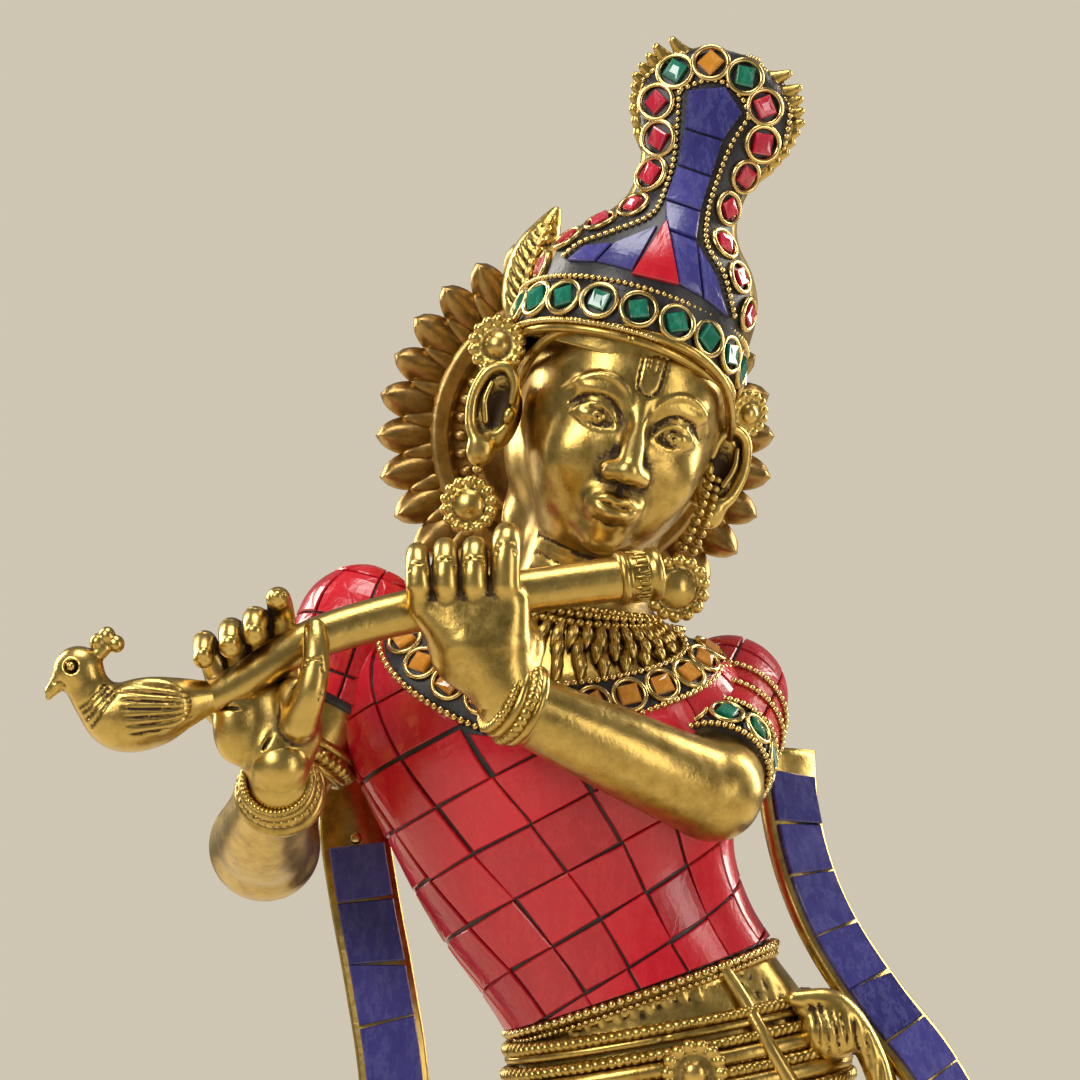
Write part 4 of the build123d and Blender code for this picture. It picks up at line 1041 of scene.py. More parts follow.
def rosette(clay, centre, radius, boss, bumps):
    """A boss in a ring with a row of bumps round it, facing -Y."""
    deep = 1.5
    x, y, z = centre
    clay.egg((x, y + deep * 0.55, z), (radius * 0.93, deep, radius * 0.93), 0.3)
    circle = lambda r, k: smooth([(x + r * math.cos(a), y, z + r * math.sin(a), k) for a in turns(16)], 0.4,
        True)
    for a in turns(bumps):
        clay.egg((x + radius * 0.88 * math.cos(a), y + 0.1, z + radius * 0.88 * math.sin(a)),
            radius * 0.21, 0.15)
    clay.tube(circle(radius * 0.66, radius * 0.1), 0.15)
    clay.egg((x, y - 0.1, z), (boss, deep * 0.95, boss), 0.1)


def ear_ornaments():
    """Two drops under the lobes and a flower over each temple, with their chains."""
    pieces = []
    for x, y, z, radius, boss, yaw in ((-20.4, -4, -19.8, 4.4, 2.6, -18),
            (14.2, -12.0, -23.4, 5.1, 3.3, 10), (-22.9, -2.5, 6.0, 4.5, 1.9, -25),
            (19.6, 0, 6.6, 3.6, 1.7, 25)):
        clay = Clay((-7, -3.5, -7), (7, 5, 7), 0.24)
        rosette(clay, (0, 0, 0), radius, boss, 14)
        clay.tube([(0, 0.8, 0, radius * 0.5), (0, 3.6, 0, radius * 0.34)], 0.5)
        place = HEAD @ Matrix.Translation((x, y, z)) @ Matrix.Rotation(math.radians(yaw), 4, "Z")
        verts, quads, relief = clay.skin()
        verts = placed(verts, place)
        pieces.append(mesh_of("ornament", verts, quads, BRASS, {"relief": relief}))
    chains = [[(-20.6, -3.6, -12.5), (-20.6, -4.0, -14), (-20.4, -3.8, -15.5)],
        [(15.6, -5, -5), (15.0, -7.5, -11), (13.6, -8.6, -18.5)], [(17.4, -2, -5), (16.9, -5.5, -12),
            (15.6, -7.5, -18.6)]]
    pieces.append(bead_wire("chains", [(placed(smooth(c, 0.6), HEAD), False) for c in chains], BRASS,
            0.85, 1.5, 0.8))
    show(joined("ear ornaments", *pieces), "aged_brass", "ear_drums")


# ------------------------------------------------------------------ crown
CAP = [(-1.5, 2.0, 9.0, 17.4, 18.6, 0), (-1.5, 1.2, 17, 18.0, 18.0, 0), (-1.2, 0.4, 23, 17.4, 16.2, 0),
    (-0.5, 0, 28, 14.4, 13.0, 0), (-0.1, 0, 32, 10.6, 9.6, 0), (0.3, 0.2, 36, 8.9, 7.2, 0),
    (0.7, 0.6, 42, 9.3, 5.4, 0), (0.9, 1.0, 48, 12.0, 4.8, 0), (1.0, 1.4, 53, 12.8, 4.6, 0),
    (1.0, 1.8, 58, 9.6, 4.2, 0), (1.0, 2.0, 61.4, 4.6, 3.2, 0)]
RIM = Matrix.Translation((-2.2, 0.6, 9.5)) @ Matrix.Rotation(math.radians(-15.5), 4, "X")
RIM_OVAL = (18.0, 19.6)


def rim_line(height, grow=0.0):
    """A line round the crown's band, in figure coordinates."""
    points = []
    for a in turns(72):
        p = RIM @ Vector(((RIM_OVAL[0] + grow) * math.sin(a), -(RIM_OVAL[1] + grow) * math.cos(a), height))
        points.append(tuple(p))
    return placed(smooth(points, 0.8, True), CROWN)


def band(low, high, out, name, finish, slot, *nodes):
    """A band round the head between two heights of the tilted rim, a little domed."""
    section = [(low, -1.2), (low, out - 0.5), (low + 0.5, out), ((low + high) / 2, out + 0.25),
        (high - 0.5, out), (high, out - 0.5), (high, -1.2)]
    rows, count = [], 120
    for height, grow in section:
        for a in turns(count):
            p = RIM @ Vector(((RIM_OVAL[0] + grow) * math.sin(a), -(RIM_OVAL[1] + grow) * math.cos(a),
                    height))
            rows.append(tuple(p))
    faces = []
    for i in range(len(section)):
        k = (i + 1) % len(section)
        faces += [[i * count + j, i * count + (j + 1) % count, k * count + (j + 1) % count, k * count + j]
            for j in range(count)]
    show(mesh_of(name, placed(rows, CROWN), faces, finish), slot, *nodes)


def crown():
    """The cap and plume of the crown: brass behind, black lac in front, with set stones."""
    clay = Clay((-23, -22, 8), (23, 24, 66), 0.36)
    clay.stack(CAP, 0.6)
    for side in (-1, 1):
        for k in range(10):
            z = 44.0 + 1.75 * k
            wide = np.interp(z, [42, 48, 53, 58, 61.4], [9.4, 12.4, 13.2, 11.2, 7.0])
            clay.tube([(side * (wide - 5.2) + 0.9, 2.4, z - 1.6, 1.5),
                    (side * (wide - 1.2) + 0.9, 1.2, z - 0.4, 1.25),
                    (side * (wide + 0.6) + 0.9, 0.6, z + 0.9, 0.7)], 0.2)
    for a in np.radians(np.arange(28, 155, 9.5)):
        clay.tube([(1 + 5 * math.cos(a), 2.4, 54 + 4.6 * math.sin(a), 1.5),
                (1 + 7.6 * math.cos(a), 1.2, 54.4 + 5.8 * math.sin(a), 1.0)], 0.4)
    for k, z in enumerate(np.arange(24, 58, 3.2)):
        half = np.interp(z, [24, 32, 42, 52, 58], [15, 9, 7, 10, 7])
        for side in (-1, 1):
            arc = [(side * half, np.interp(z, [24, 36, 58], [12.5, 8.4, 6.0]), z + 3.0),
                (side * half * 0.5, np.interp(z, [24, 36, 58], [16, 8.4, 6.2]), z + 0.8),
                (0, np.interp(z, [24, 36, 58], [17, 8.6, 6.4]), z)]
            clay.tube(smooth([(*p, 0.55) for p in arc], 0.6), 0.3, cut=True)
    cast("crown cap", clay, "crown_cap", place=CROWN)

    clay = Clay((-22, -24, 12), (22, 8, 64), 0.4)
    clay.stack([(x, y - 0.9, z, a - 0.4, b, t) for x, y, z, a, b, t in CAP], 0.5)
    whole = tuple(slice(0, n) for n in clay.field.shape)
    clay.field = np.maximum(clay.field, clay.places(whole)[1] - 0.8)
    verts, quads = cast("crown lac", clay, "crest_lac", finish=LAC, slot="black_lac", place=CROWN)
    ground = Ground(verts, quads)
    turn = np.array(CROWN.to_3x3())

    def seen(x, z, proud=0.0):
        eye_point = placed([(x, -60, z)], CROWN)[0]
        found = ground.look(eye_point, turn[:, 1])
        return None if found is None else (found[0] + found[1] * proud, found[1])

    line = smooth([(-18.6, 20.0), (-16.6, 24.4), (-12.9, 28.4), (-8.0, 32.2), (-6.1, 38), (-6.6, 45),
            (-8.6, 51.6), (-5.6, 57.0), (1, 58.7), (7.3, 55.6), (9.5, 49), (8.1, 41.9), (7.0, 35.7),
            (8.4, 30.3), (11.8, 26.6), (14.6, 21.6)], 0.5)
    line = evenly(np.column_stack([line, np.zeros(len(line))]), 6.02)[:, :2]
    rings, chips = [], {"ruby": [], "green": [], "amber": []}
    for k, (x, z) in enumerate(line):
        found = seen(x, z, 0.25)
        if found is None:
            continue
        size = RING * (1.1 if 4 <= k <= 11 else 0.99)
        rings.append((found[0], found[1], turn[:, 2], size))
        kind = "amber" if k == 8 else "green" if k in (7, 9) else "ruby"
        chips[kind].append((found[0] + found[1] * 0.2, found[1], turn[:, 2],
                (2.9 * size / RING, 2.7 * size / RING, 3.0)))
    show(at_seats("crest rings", rings, RING_SHAPE, WIRE_BRASS, smooth_faces=True), "brass_wire",
        "crest_rings")
    show(at_seats("crest red stones", chips["ruby"], CHIP_SHAPE, RUBY, 0.7, 0.12, 0.08, 4, False),
        "red_stone", "crest_red_stones")
    show(at_seats("crest green stones", chips["green"], CHIP_SHAPE, GREEN, 0.5, 0.12, 0.08, 6, False),
        "green_stone", "crest_green_stones")
    show(at_seats("crest amber stone", chips["amber"], CHIP_SHAPE, AMBER, 0.5, 0.1, 0.05, 7, False),
        "amber_stone", "crest_amber_stone")

    blue = Shell()
    field = [[(-3.2, 47.2), (3.4, 47.0), (5.2, 52.2), (1.4, 55.6), (-4.2, 53.4)],
        [(-2.6, 41.2), (3.2, 40.9), (3.4, 47.0), (-3.2, 47.2)], [(-2.9, 35.2), (3.0, 34.9), (3.2, 40.9),
            (-2.6, 41.2)], [(-2.2, 32.6), (-2.9, 35.2), (3.0, 34.9), (3.6, 30.2), (-1.2, 30.4)],
        [(-2.6, 31.2), (-4.6, 22.6), (-10.6, 22.4), (-8.6, 26.2)],
        [(-8.6, 26.2), (-10.6, 22.4), (-15.4, 21.4), (-13.0, 24.6)],
        [(3.6, 30.0), (-1.0, 30.4), (2.6, 22.6), (7.0, 21.6)], [(3.6, 30.0), (7.0, 21.6), (11.8, 19.8),
            (8.0, 25.6)]]
    for polygon in field:
        lay_stone(blue, np.array(polygon), seen, TILE_PROUD, 0.35, 1.2, tilt=0.02)
    show(blue.piece("crest blue tiles", LAPIS, crisp=True), "blue_tile", "crest_blue_tiles")
    red = Shell()
    lay_stone(red, np.array([(-4.8, 22.0), (2.9, 22.4), (-1.8, 32.2)]), seen, TILE_PROUD + 0.35, 0.3, 1.0)
    show(red.piece("crest red triangle", CORAL, crisp=True), "red_tile", "crest_red_triangle")

    def on_crown(points):
        """A line of beads laid on the front of the crown."""
        found = [seen(x, z, 0.3) for x, z in smooth(points, 0.5)]
        return np.array([f[0] for f in found if f is not None])

    beads = [(on_crown([(-15.6, 22.4), (-13.6, 25.0), (-9.4, 28.0), (-4.2, 32.4), (-3.2, 38), (-3.4, 43),
                (-4.4, 48), (-5.4, 52.6)]), False),
        (on_crown([(12.4, 20.6), (9.0, 26.4), (5.2, 30.2), (4.0, 35.7), (4.2, 42), (4.8, 47), (6.2, 51.8)]),
            False), (rim_line(6.0, 0.7), True),
        (on_crown([(-5.2, 53.2), (-1.8, 55.6), (1.2, 56.0), (4.4, 54.4), (6.0, 52.4)]), False)]
    outer = smooth([(x + (3.3 if x > 1 else -3.3) * (1 if abs(z - 58.7) > 3 else 0),
                z + (3.2 if z > 55 else 0)) for x, z in [(-6.1, 38), (-6.6, 45), (-8.6, 51.6), (-5.6, 57.0),
                (1, 58.7), (7.3, 55.6), (9.5, 49), (8.1, 41.9), (7.0, 35.7)]], 0.5)
    edge = [seen(x, z, 0.2) for x, z in outer]
    beads.append((np.array([f[0] for f in edge if f is not None]), False))
    show(bead_wire("crown beads", beads, WIRE_BRASS, 0.5, 1.08), "brass_wire", "crown_beads")

    band(-1.2, 5.9, 0.3, "crown band", LAC, "black_lac", "crown_band_lac")
    ring_seats, stones = [], []
    loop = evenly(np.vstack([rim_line(2.3, 0.7), rim_line(2.3, 0.7)[:1]]), 6.5, True)
    centre, up = placed([RIM.translation], CROWN)[0], np.array((CROWN @ RIM).to_3x3())[:, 2]
    for p in loop[:, :3]:
        out = p - centre
        out = unit(out - up * (out @ up) + up * 2.0)
        ring_seats.append((p + out * 0.15, out, up, RING * 1.1))
        stones.append((p + out * 0.35, out, up, (3.2, 3.2, 3.0)))
    wires = at_seats("band rings", ring_seats, RING_SHAPE, WIRE_BRASS, smooth_faces=True)
    knurl = bead_wire("band knurl", [(rim_line(-1.3, 0.35), True)], WIRE_BRASS, 0.55, 0.8, 1.3, 0.8)
    show(joined("band wires", wires, knurl), "brass_wire", "crown_band_rings")
    show(at_seats("band green stones", stones, CHIP_SHAPE, GREEN, 0.5, 0.14, 0.08, 8, False), "green_stone",
        "crown_green_stones")
    frame_line = [(-17.6, 1.5, 2), (-16.4, -6, 6.0), (-13.6, -12, 10.2), (-8, -16.8, 13.0),
        (0, -18.4, 13.8), (8, -16.8, 13.0), (13.6, -12, 10.2), (16.4, -6, 6.0), (17.6, 1.5, 2)]
    rim = np.column_stack([placed(smooth(frame_line, 0.6), CROWN),
            np.full(len(smooth(frame_line, 0.6)), 0.85)])
    under = rim_line(-2.3, -0.6)
    bar = Shell()
    bar.add(*tube_body(rim, 12))
    bar.add(*tube_body(np.column_stack([np.vstack([under, under[:1]]), np.full(len(under) + 1, 0.8)]), 10))
    feather()
    show(bar.piece("crest plate rim", BRASS), "aged_brass", "crest_plate")


def feather():
    """The upright leaf on the crown's right side, with its engraved barbs."""
    clay = Clay((-27, 0, 8), (-14, 14, 34), 0.28)
    clay.tube(smooth([(-19.6, 6, 10, 2.0), (-20.4, 6.4, 15, 3.6), (-20.5, 6.8, 21, 3.8),
                (-19.8, 7.2, 26.0, 2.3), (-19.2, 7.4, 29.4, 0.9)], 0.6), 0.5)
    clay.tube(smooth([(-19.6, 2.8, 10, 0.7), (-20.4, 2.6, 15, 0.8), (-20.4, 2.8, 21, 0.7),
                (-19.4, 4.4, 28.4, 0.5)], 0.5), 0.3)
    clay.front()
    for k in range(9):
        z = 12.5 + 1.75 * k
        for side in (-1, 1):
            clay.draw([(-20.4 + 0.35 * side, z), (-20.4 + 2.0 * side, z + 1.2),
                    (-20.3 + 3.8 * side, z + 2.9)], 0.3, 0.0, 0.15)
    cast("crown leaf", clay, "crown_leaf", place=CROWN)


# ------------------------------------------------------------------ halo
def petal_template():
    """A puffy leaf along +X with a raised keel and a second edge, lying on Z = 0."""
    n, m = 11, 13
    verts, faces = [], []
    for layer in (1, -1):
        for i in range(n):
            s = i / (n - 1)
            half = max(0.03, 3.15 * max(0.0, math.sin(math.pi * (0.18 + 0.82 * s))) ** 0.55)
            for j in range(m):
                t = -1 + 2 * j / (m - 1)
                inner = max(0.0, 1 - (abs(t) / 0.72) ** 2)
                high = 0.5 * (1 - t * t) ** 0.5 + 1.5 * inner ** 0.55 * math.sin(math.pi
                    * (0.14 + 0.8 * s)) ** 0.8 + 0.5 * s * s
                verts.append((-1.5 + 9.2 * s, half * t, (high if layer > 0 else -0.6)
                        * (1 if abs(t) < 1 else 0.3)))
    for layer in (0, 1):
        for i in range(n - 1):
            for j in range(m - 1):
                a = layer * n * m + i * m + j
                quad = [a, a + m, a + m + 1, a + 1]
                faces.append(quad if layer == 0 else quad[::-1])
    for i in range(n - 1):
        a, b = i * m, n * m + i * m
        faces.append([a, b, b + m, a + m])
        faces.append([a + m - 1, a + 2 * m - 1, b + 2 * m - 1, b + m - 1])
    for i in (0, n - 1):
        for j in range(m - 1):
            a, b = i * m + j, n * m + i * m + j
            faces.append([a, a + 1, b + 1, b] if i == 0 else [a + 1, a, b, b + 1])
    return mesh_of("petal", np.array(verts), faces, BRASS)


def halo():
    """The ring of rays behind the head: a turned plate, thirty petals and a row of oval beads."""
    petal = petal_template()
    place = Matrix.Translation(Vector((-5.5, 23.4, 297.8))) @ Matrix.Rotation(math.radians(5), 4,
        "Z") @ Matrix.Rotation(math.radians(90), 4, "X")
    turn = np.array(place.to_3x3())
    outline = [(0, -1.4), (22.8, -1.4), (24.0, -0.6), (24.2, 0.6), (23.6, 1.4), (22.6, 1.9), (21.8, 1.3),
        (21.2, 1.5), (20.6, 1.2), (20.2, 0.4), (17.2, 0.3), (16.8, 0.9), (16.0, 1.1), (15.4, 0.5),
        (13.0, 0.3), (0, 0.3)]
    verts, faces = lathe(outline, 128)
    plate = mesh_of("plate", verts @ turn.T + np.array(place.translation), faces, DARK_BRASS)
    base = wire_base([([(0, 0, 0), (1, 0, 0)], False)])
    euler = place.to_euler()
    petals = grown("petals", base, PETAL_RING, Petal=petal, Count=30, Radius=24.9 * MM, Tip=-0.2,
        Place=np.array(place.translation) * MM, Turn=euler, Finish=DARK_BRASS)
    base = wire_base([([(0, 0, 0), (1, 0, 0)], False)])
    leaves = grown("leaves", base, PETAL_RING, Petal=petal, Count=30, Radius=23.0 * MM, Phase=math.pi / 30,
        Tip=-0.1, Size=0.72, Place=np.array(place.translation) * MM, Turn=euler, Finish=DARK_BRASS)
    circle = np.array([(18.7 * math.cos(a), 18.7 * math.sin(a), 0.9) for a in turns(180)])
    beads = bead_wire("oval beads", [(circle @ turn.T + np.array(place.translation), True)], DARK_BRASS,
        1.25, 3.0, 0.82)
    show(joined("halo", plate, petals, leaves, beads), "aged_brass", "halo")
    bpy.data.objects.remove(petal)


head()
ear(-1)
ear(1)
ear_ornaments()
crown()
halo()


# ------------------------------------------------------------------ body
AXIS_BASE, AXIS = np.array([6.6, 1.0, 206.5]), unit(np.array([-17.2, 0.0, 52.5]))


def on_torso(angle, level, proud=0.0):
    """A place on the torso at an angle round it (0 is the front) and a ring number."""
    rings = np.column_stack([np.asarray(TORSO, float), np.arange(len(TORSO))])
    line = smooth(rings, 0.8)
    x, y, z, wide, deep, turn = (np.interp(level, line[:, 6], line[:, k]) for k in range(6))
    turn = math.radians(turn)
    side = (wide + proud) * math.sin(angle)
    return np.array([x + side * math.cos(turn), y - (deep + proud) * math.cos(angle),
            z - side * math.sin(turn)])


def neckline(angle):
    """Ring number of the vest's upper edge: a scoop in front, the shoulders at the sides."""
    away = np.minimum(np.abs(np.degrees(angle)) / 66, 1)
    return np.minimum(3.95 + 1.75 * away ** 1.6, 5.7)


def vest_line(level, proud):
    """A line round the torso at a ring number, which may depend on the angle."""
    return np.array([on_torso(a, level(a), proud) for a in np.linspace(-math.pi, math.pi, 160)[:-1]])


def torso():
    """The body casting, its lac, the tiles of the vest, the collar and the necklace."""
    clay = Clay((-48, -27, 198), (34, 24, 292), 0.55)
    window, angle, level = clay.stack(TORSO, 0.6)
    clay.egg((-14, -15.4, 247), (9.5, 4.5, 9), 2.0)
    clay.egg((2, -15.4, 246), (8, 4.0, 9), 2.0)
    lac = Clay((-48, -27, 198), (34, 24, 292), 0.55)
    collar = Clay((-48, -27, 198), (34, 24, 292), 0.55)
    away = clay.field[window]
    edge = neckline(angle)
    lac.field[window] = np.maximum(away - 0.7,
        np.maximum((level - edge) * 7.0, (0.35 - level) * 8.5)).astype(np.float32)
    trim = np.maximum((level - edge - 0.92) * 7.0, (edge - 0.04 - level) * 7.0)
    collar.field[window] = np.maximum(away - 1.15, np.maximum(trim, (level - 6.4) * 5.0)).astype(np.float32)
    verts, quads = cast("torso", clay, "torso_casting")
    cast("vest lac", lac, "vest_lac", finish=LAC, slot="black_lac")
    collar_flat = Round(Ground(*cast("collar lac", collar, "collar_lac", finish=LAC, slot="black_lac")),
        AXIS_BASE, AXIS, (26.5, 16.6))
    flat = Round(Ground(verts, quads), AXIS_BASE, AXIS, (26.5, 16.6))
    places = np.array(sorted(flat.flat(on_torso(a, neckline(a))) for a in np.linspace(-3.1, 3.1, 220)))
    hems = np.array(sorted(flat.flat(on_torso(a, 0.38)) for a in np.linspace(-3.1, 3.1, 220)))

    shell = Shell()
    tilt = math.radians(12)
    across, up = np.array([math.cos(tilt), math.sin(tilt)]), np.array([-math.sin(tilt), math.cos(tilt)])
    for i in range(-12, 13):
        for j in range(-12, 13):
            low = across * (i * VEST_TILE[0]) + up * (j * VEST_TILE[1] + 26)
            polygon = np.array([low, low + across * VEST_TILE[0], low + across * VEST_TILE[0] + up
                    * VEST_TILE[1], low + up * VEST_TILE[1]])
            polygon = polygon + chance.normal(0, 0.16, polygon.shape)
            u = polygon[:, 0].mean()
            if abs(u) > flat.half + 5:
                continue
            for side in (-1, 1):
                polygon = clip(polygon, np.array([side * (flat.half - 0.2), 0]),
                    np.array([-side, 0.0])) if len(polygon) > 2 else polygon
            for line, sign in ((places, -1), (hems, 1)):
                for shift in (-2.4, 2.4):
                    if len(polygon) < 3:
                        break
                    spots = np.clip([u + shift - 1, u + shift + 1], -flat.half, flat.half)
                    ends = np.interp(spots, line[:, 0], line[:, 1])
                    slope = np.array([spots[1] - spots[0], ends[1] - ends[0]])
                    inward = np.array([-slope[1], slope[0]]) * sign
                    polygon = clip(polygon, np.array([spots[0], ends[0]]), unit(inward))
            if len(polygon) > 2:
                lay_stone(shell, polygon, lambda a, b, h: flat.at(a, b, h + 0.7), TILE_PROUD,
                    tilt=0.012, sunk=0.3)
    show(shell.piece("vest tiles", CORAL, crisp=True), "red_tile", "vest_tiles")

    hem = [vest_line(lambda a: 0.30, 1.5), vest_line(lambda a: 0.16, 0.6)]
    beads = bead_wire("hem", [(evenly(h, 0.6, True), True) for h in hem[:1]], WIRE_BRASS, 0.75, 1.45)
    teeth = bead_wire("teeth", [(evenly(hem[1], 0.6, True), True)], WIRE_BRASS, 0.55, 1.1, 1.7, 1.35)
    show(joined("hem beads", beads, teeth), "brass_wire", "hem_beads")

    inner = [on_torso(a, neckline(a) + 0.93, 1.3) for a in np.radians(np.arange(-88, 89, 3))]
    outer = [on_torso(a, neckline(a) - 0.02, 1.5) for a in np.radians(np.arange(-88, 89, 3))]
    rows = [(np.array(outer), False), (np.array(inner), False)]
    rows += [(np.array([on_torso(a, neckline(a) + 0.93, 1.3) for a in np.radians(np.arange(92, 269, 3))]),
            False)]
    show(bead_wire("collar beads", rows, WIRE_BRASS, 0.62, 1.25), "brass_wire", "collar_beads")
    middle = evenly(np.array([on_torso(a, neckline(a) + 0.45, 1.3)
                for a in np.radians(np.arange(-100, 101, 2))]), 6.0)
    seats, stones = [], []
    for p, q in zip(middle, np.roll(middle, -1, 0)):
        found = collar_flat.at(*collar_flat.flat(p), 0.0)
        if found is None:
            continue
        p, out = found
        seats.append((p + out * 0.2, out, unit(q - p), RING * 1.04))
        stones.append((p + out * 0.35, out, unit(q - p), (3.1, 3.1, 3.0)))
    show(at_seats("collar rings", seats[:-1], RING_SHAPE, WIRE_BRASS, smooth_faces=True), "brass_wire",
        "collar_rings")
    show(at_seats("collar amber", stones[:-1], CHIP_SHAPE, AMBER, 0.3, 0.1, 0.06, 3, False), "amber_stone",
        "collar_amber_stones")
    necklace()


def necklace():
    """A lace band at the neck and a fringe of leaves below it."""
    edge = lambda a: float(neckline(a)) + 0.98
    high = lambda a: max(6.85, edge(a) + 0.1)
    ring = lambda a, f, proud: on_torso(a, edge(a) + (high(a) - edge(a)) * f, proud)
    lines = [(np.array([ring(a, f, proud) for a in np.radians(np.arange(-span, span + 1, 3))]), False)
        for f, proud, span in ((0.98, 0.8, 62), (0.88, 0.9, 60), (0.74, 1.0, 56))]
    wires = bead_wire("neck wires", lines, BRASS, 0.75, 1.4)
    fringe = Shell()
    for row, (top, low, fat, step, span) in enumerate(((0.76, 0.38, 1.0, 5.4, 54),
            (0.56, 0.18, 1.05, 6.2, 50), (0.34, 0.0, 1.05, 7.0, 46))):
        for a in np.radians(np.arange(-span, span + 1, step) + 2.5 * (row % 2)):
            start, end = ring(a, top, 0.5), ring(a, low, 0.8)
            middle = (start + end) / 2 + np.array([0, -0.6, 0])
            fringe.add(*tube_body(smooth([(*start, 0.5), (*middle, fat), (*end, 0.35)], 0.5), 8, 0.75))
            fringe.add(*tube_body(smooth([(*(start + [0, -0.8, 0]), 0.2),
                        (*(middle + [0, -fat * 0.75, 0]), 0.3), (*(end + [0, -0.3, 0]), 0.2)], 0.6), 6))
    show(joined("necklace", wires, fringe.piece("fringe", BRASS)), "aged_brass", "necklace")


def limb(parts, low, high, eggs=()):
    """An arm from soft tubes and eggs, as a block of clay."""
    clay = Clay(low, high, 0.42)
    for k, part in enumerate(parts):
        clay.tube(smooth(part, 0.8), 1.2 if k else 0.5)
    for centre, radii in eggs:
        clay.egg(centre, radii, 2.0)
    return clay


def sleeve(name, ground, base, axis, radius, length, tile, turn, nodes):
    """Red tiles round a shoulder and down to the cuff, with their lac."""
    flat = Round(ground, base, axis, (radius, radius), dome=radius)
    shell = Shell()
    tilt = math.radians(turn)
    across, up = np.array([math.cos(tilt), math.sin(tilt)]), np.array([-math.sin(tilt), math.cos(tilt)])
    for i in range(-6, 7):
        for j in range(-4, 5):
            low = across * (i * tile[0]) + up * (j * tile[1])
            polygon = np.array([low, low + across * tile[0], low + across * tile[0] + up * tile[1],
                    low + up * tile[1]])
            if abs(polygon[:, 0].mean()) > flat.half:
                continue
            for side in (-1, 1):
                polygon = clip(polygon, np.array([side * flat.half, 0]),
                    np.array([-side, 0.0])) if len(polygon) > 2 else polygon
            for v, sign in ((-radius * 1.35, 1), (length, -1)):
                polygon = clip(polygon, np.array([0.0, v]),
                    np.array([0.0, sign])) if len(polygon) > 2 else polygon
            if len(polygon) > 2:
                lay_stone(shell, polygon, lambda a, b, h: flat.at(a, b, h + 0.1), TILE_PROUD,
                    tilt=0.012, every=1.3)
    show(shell.piece(name, CORAL, crisp=True), "red_tile", *nodes)
    return flat


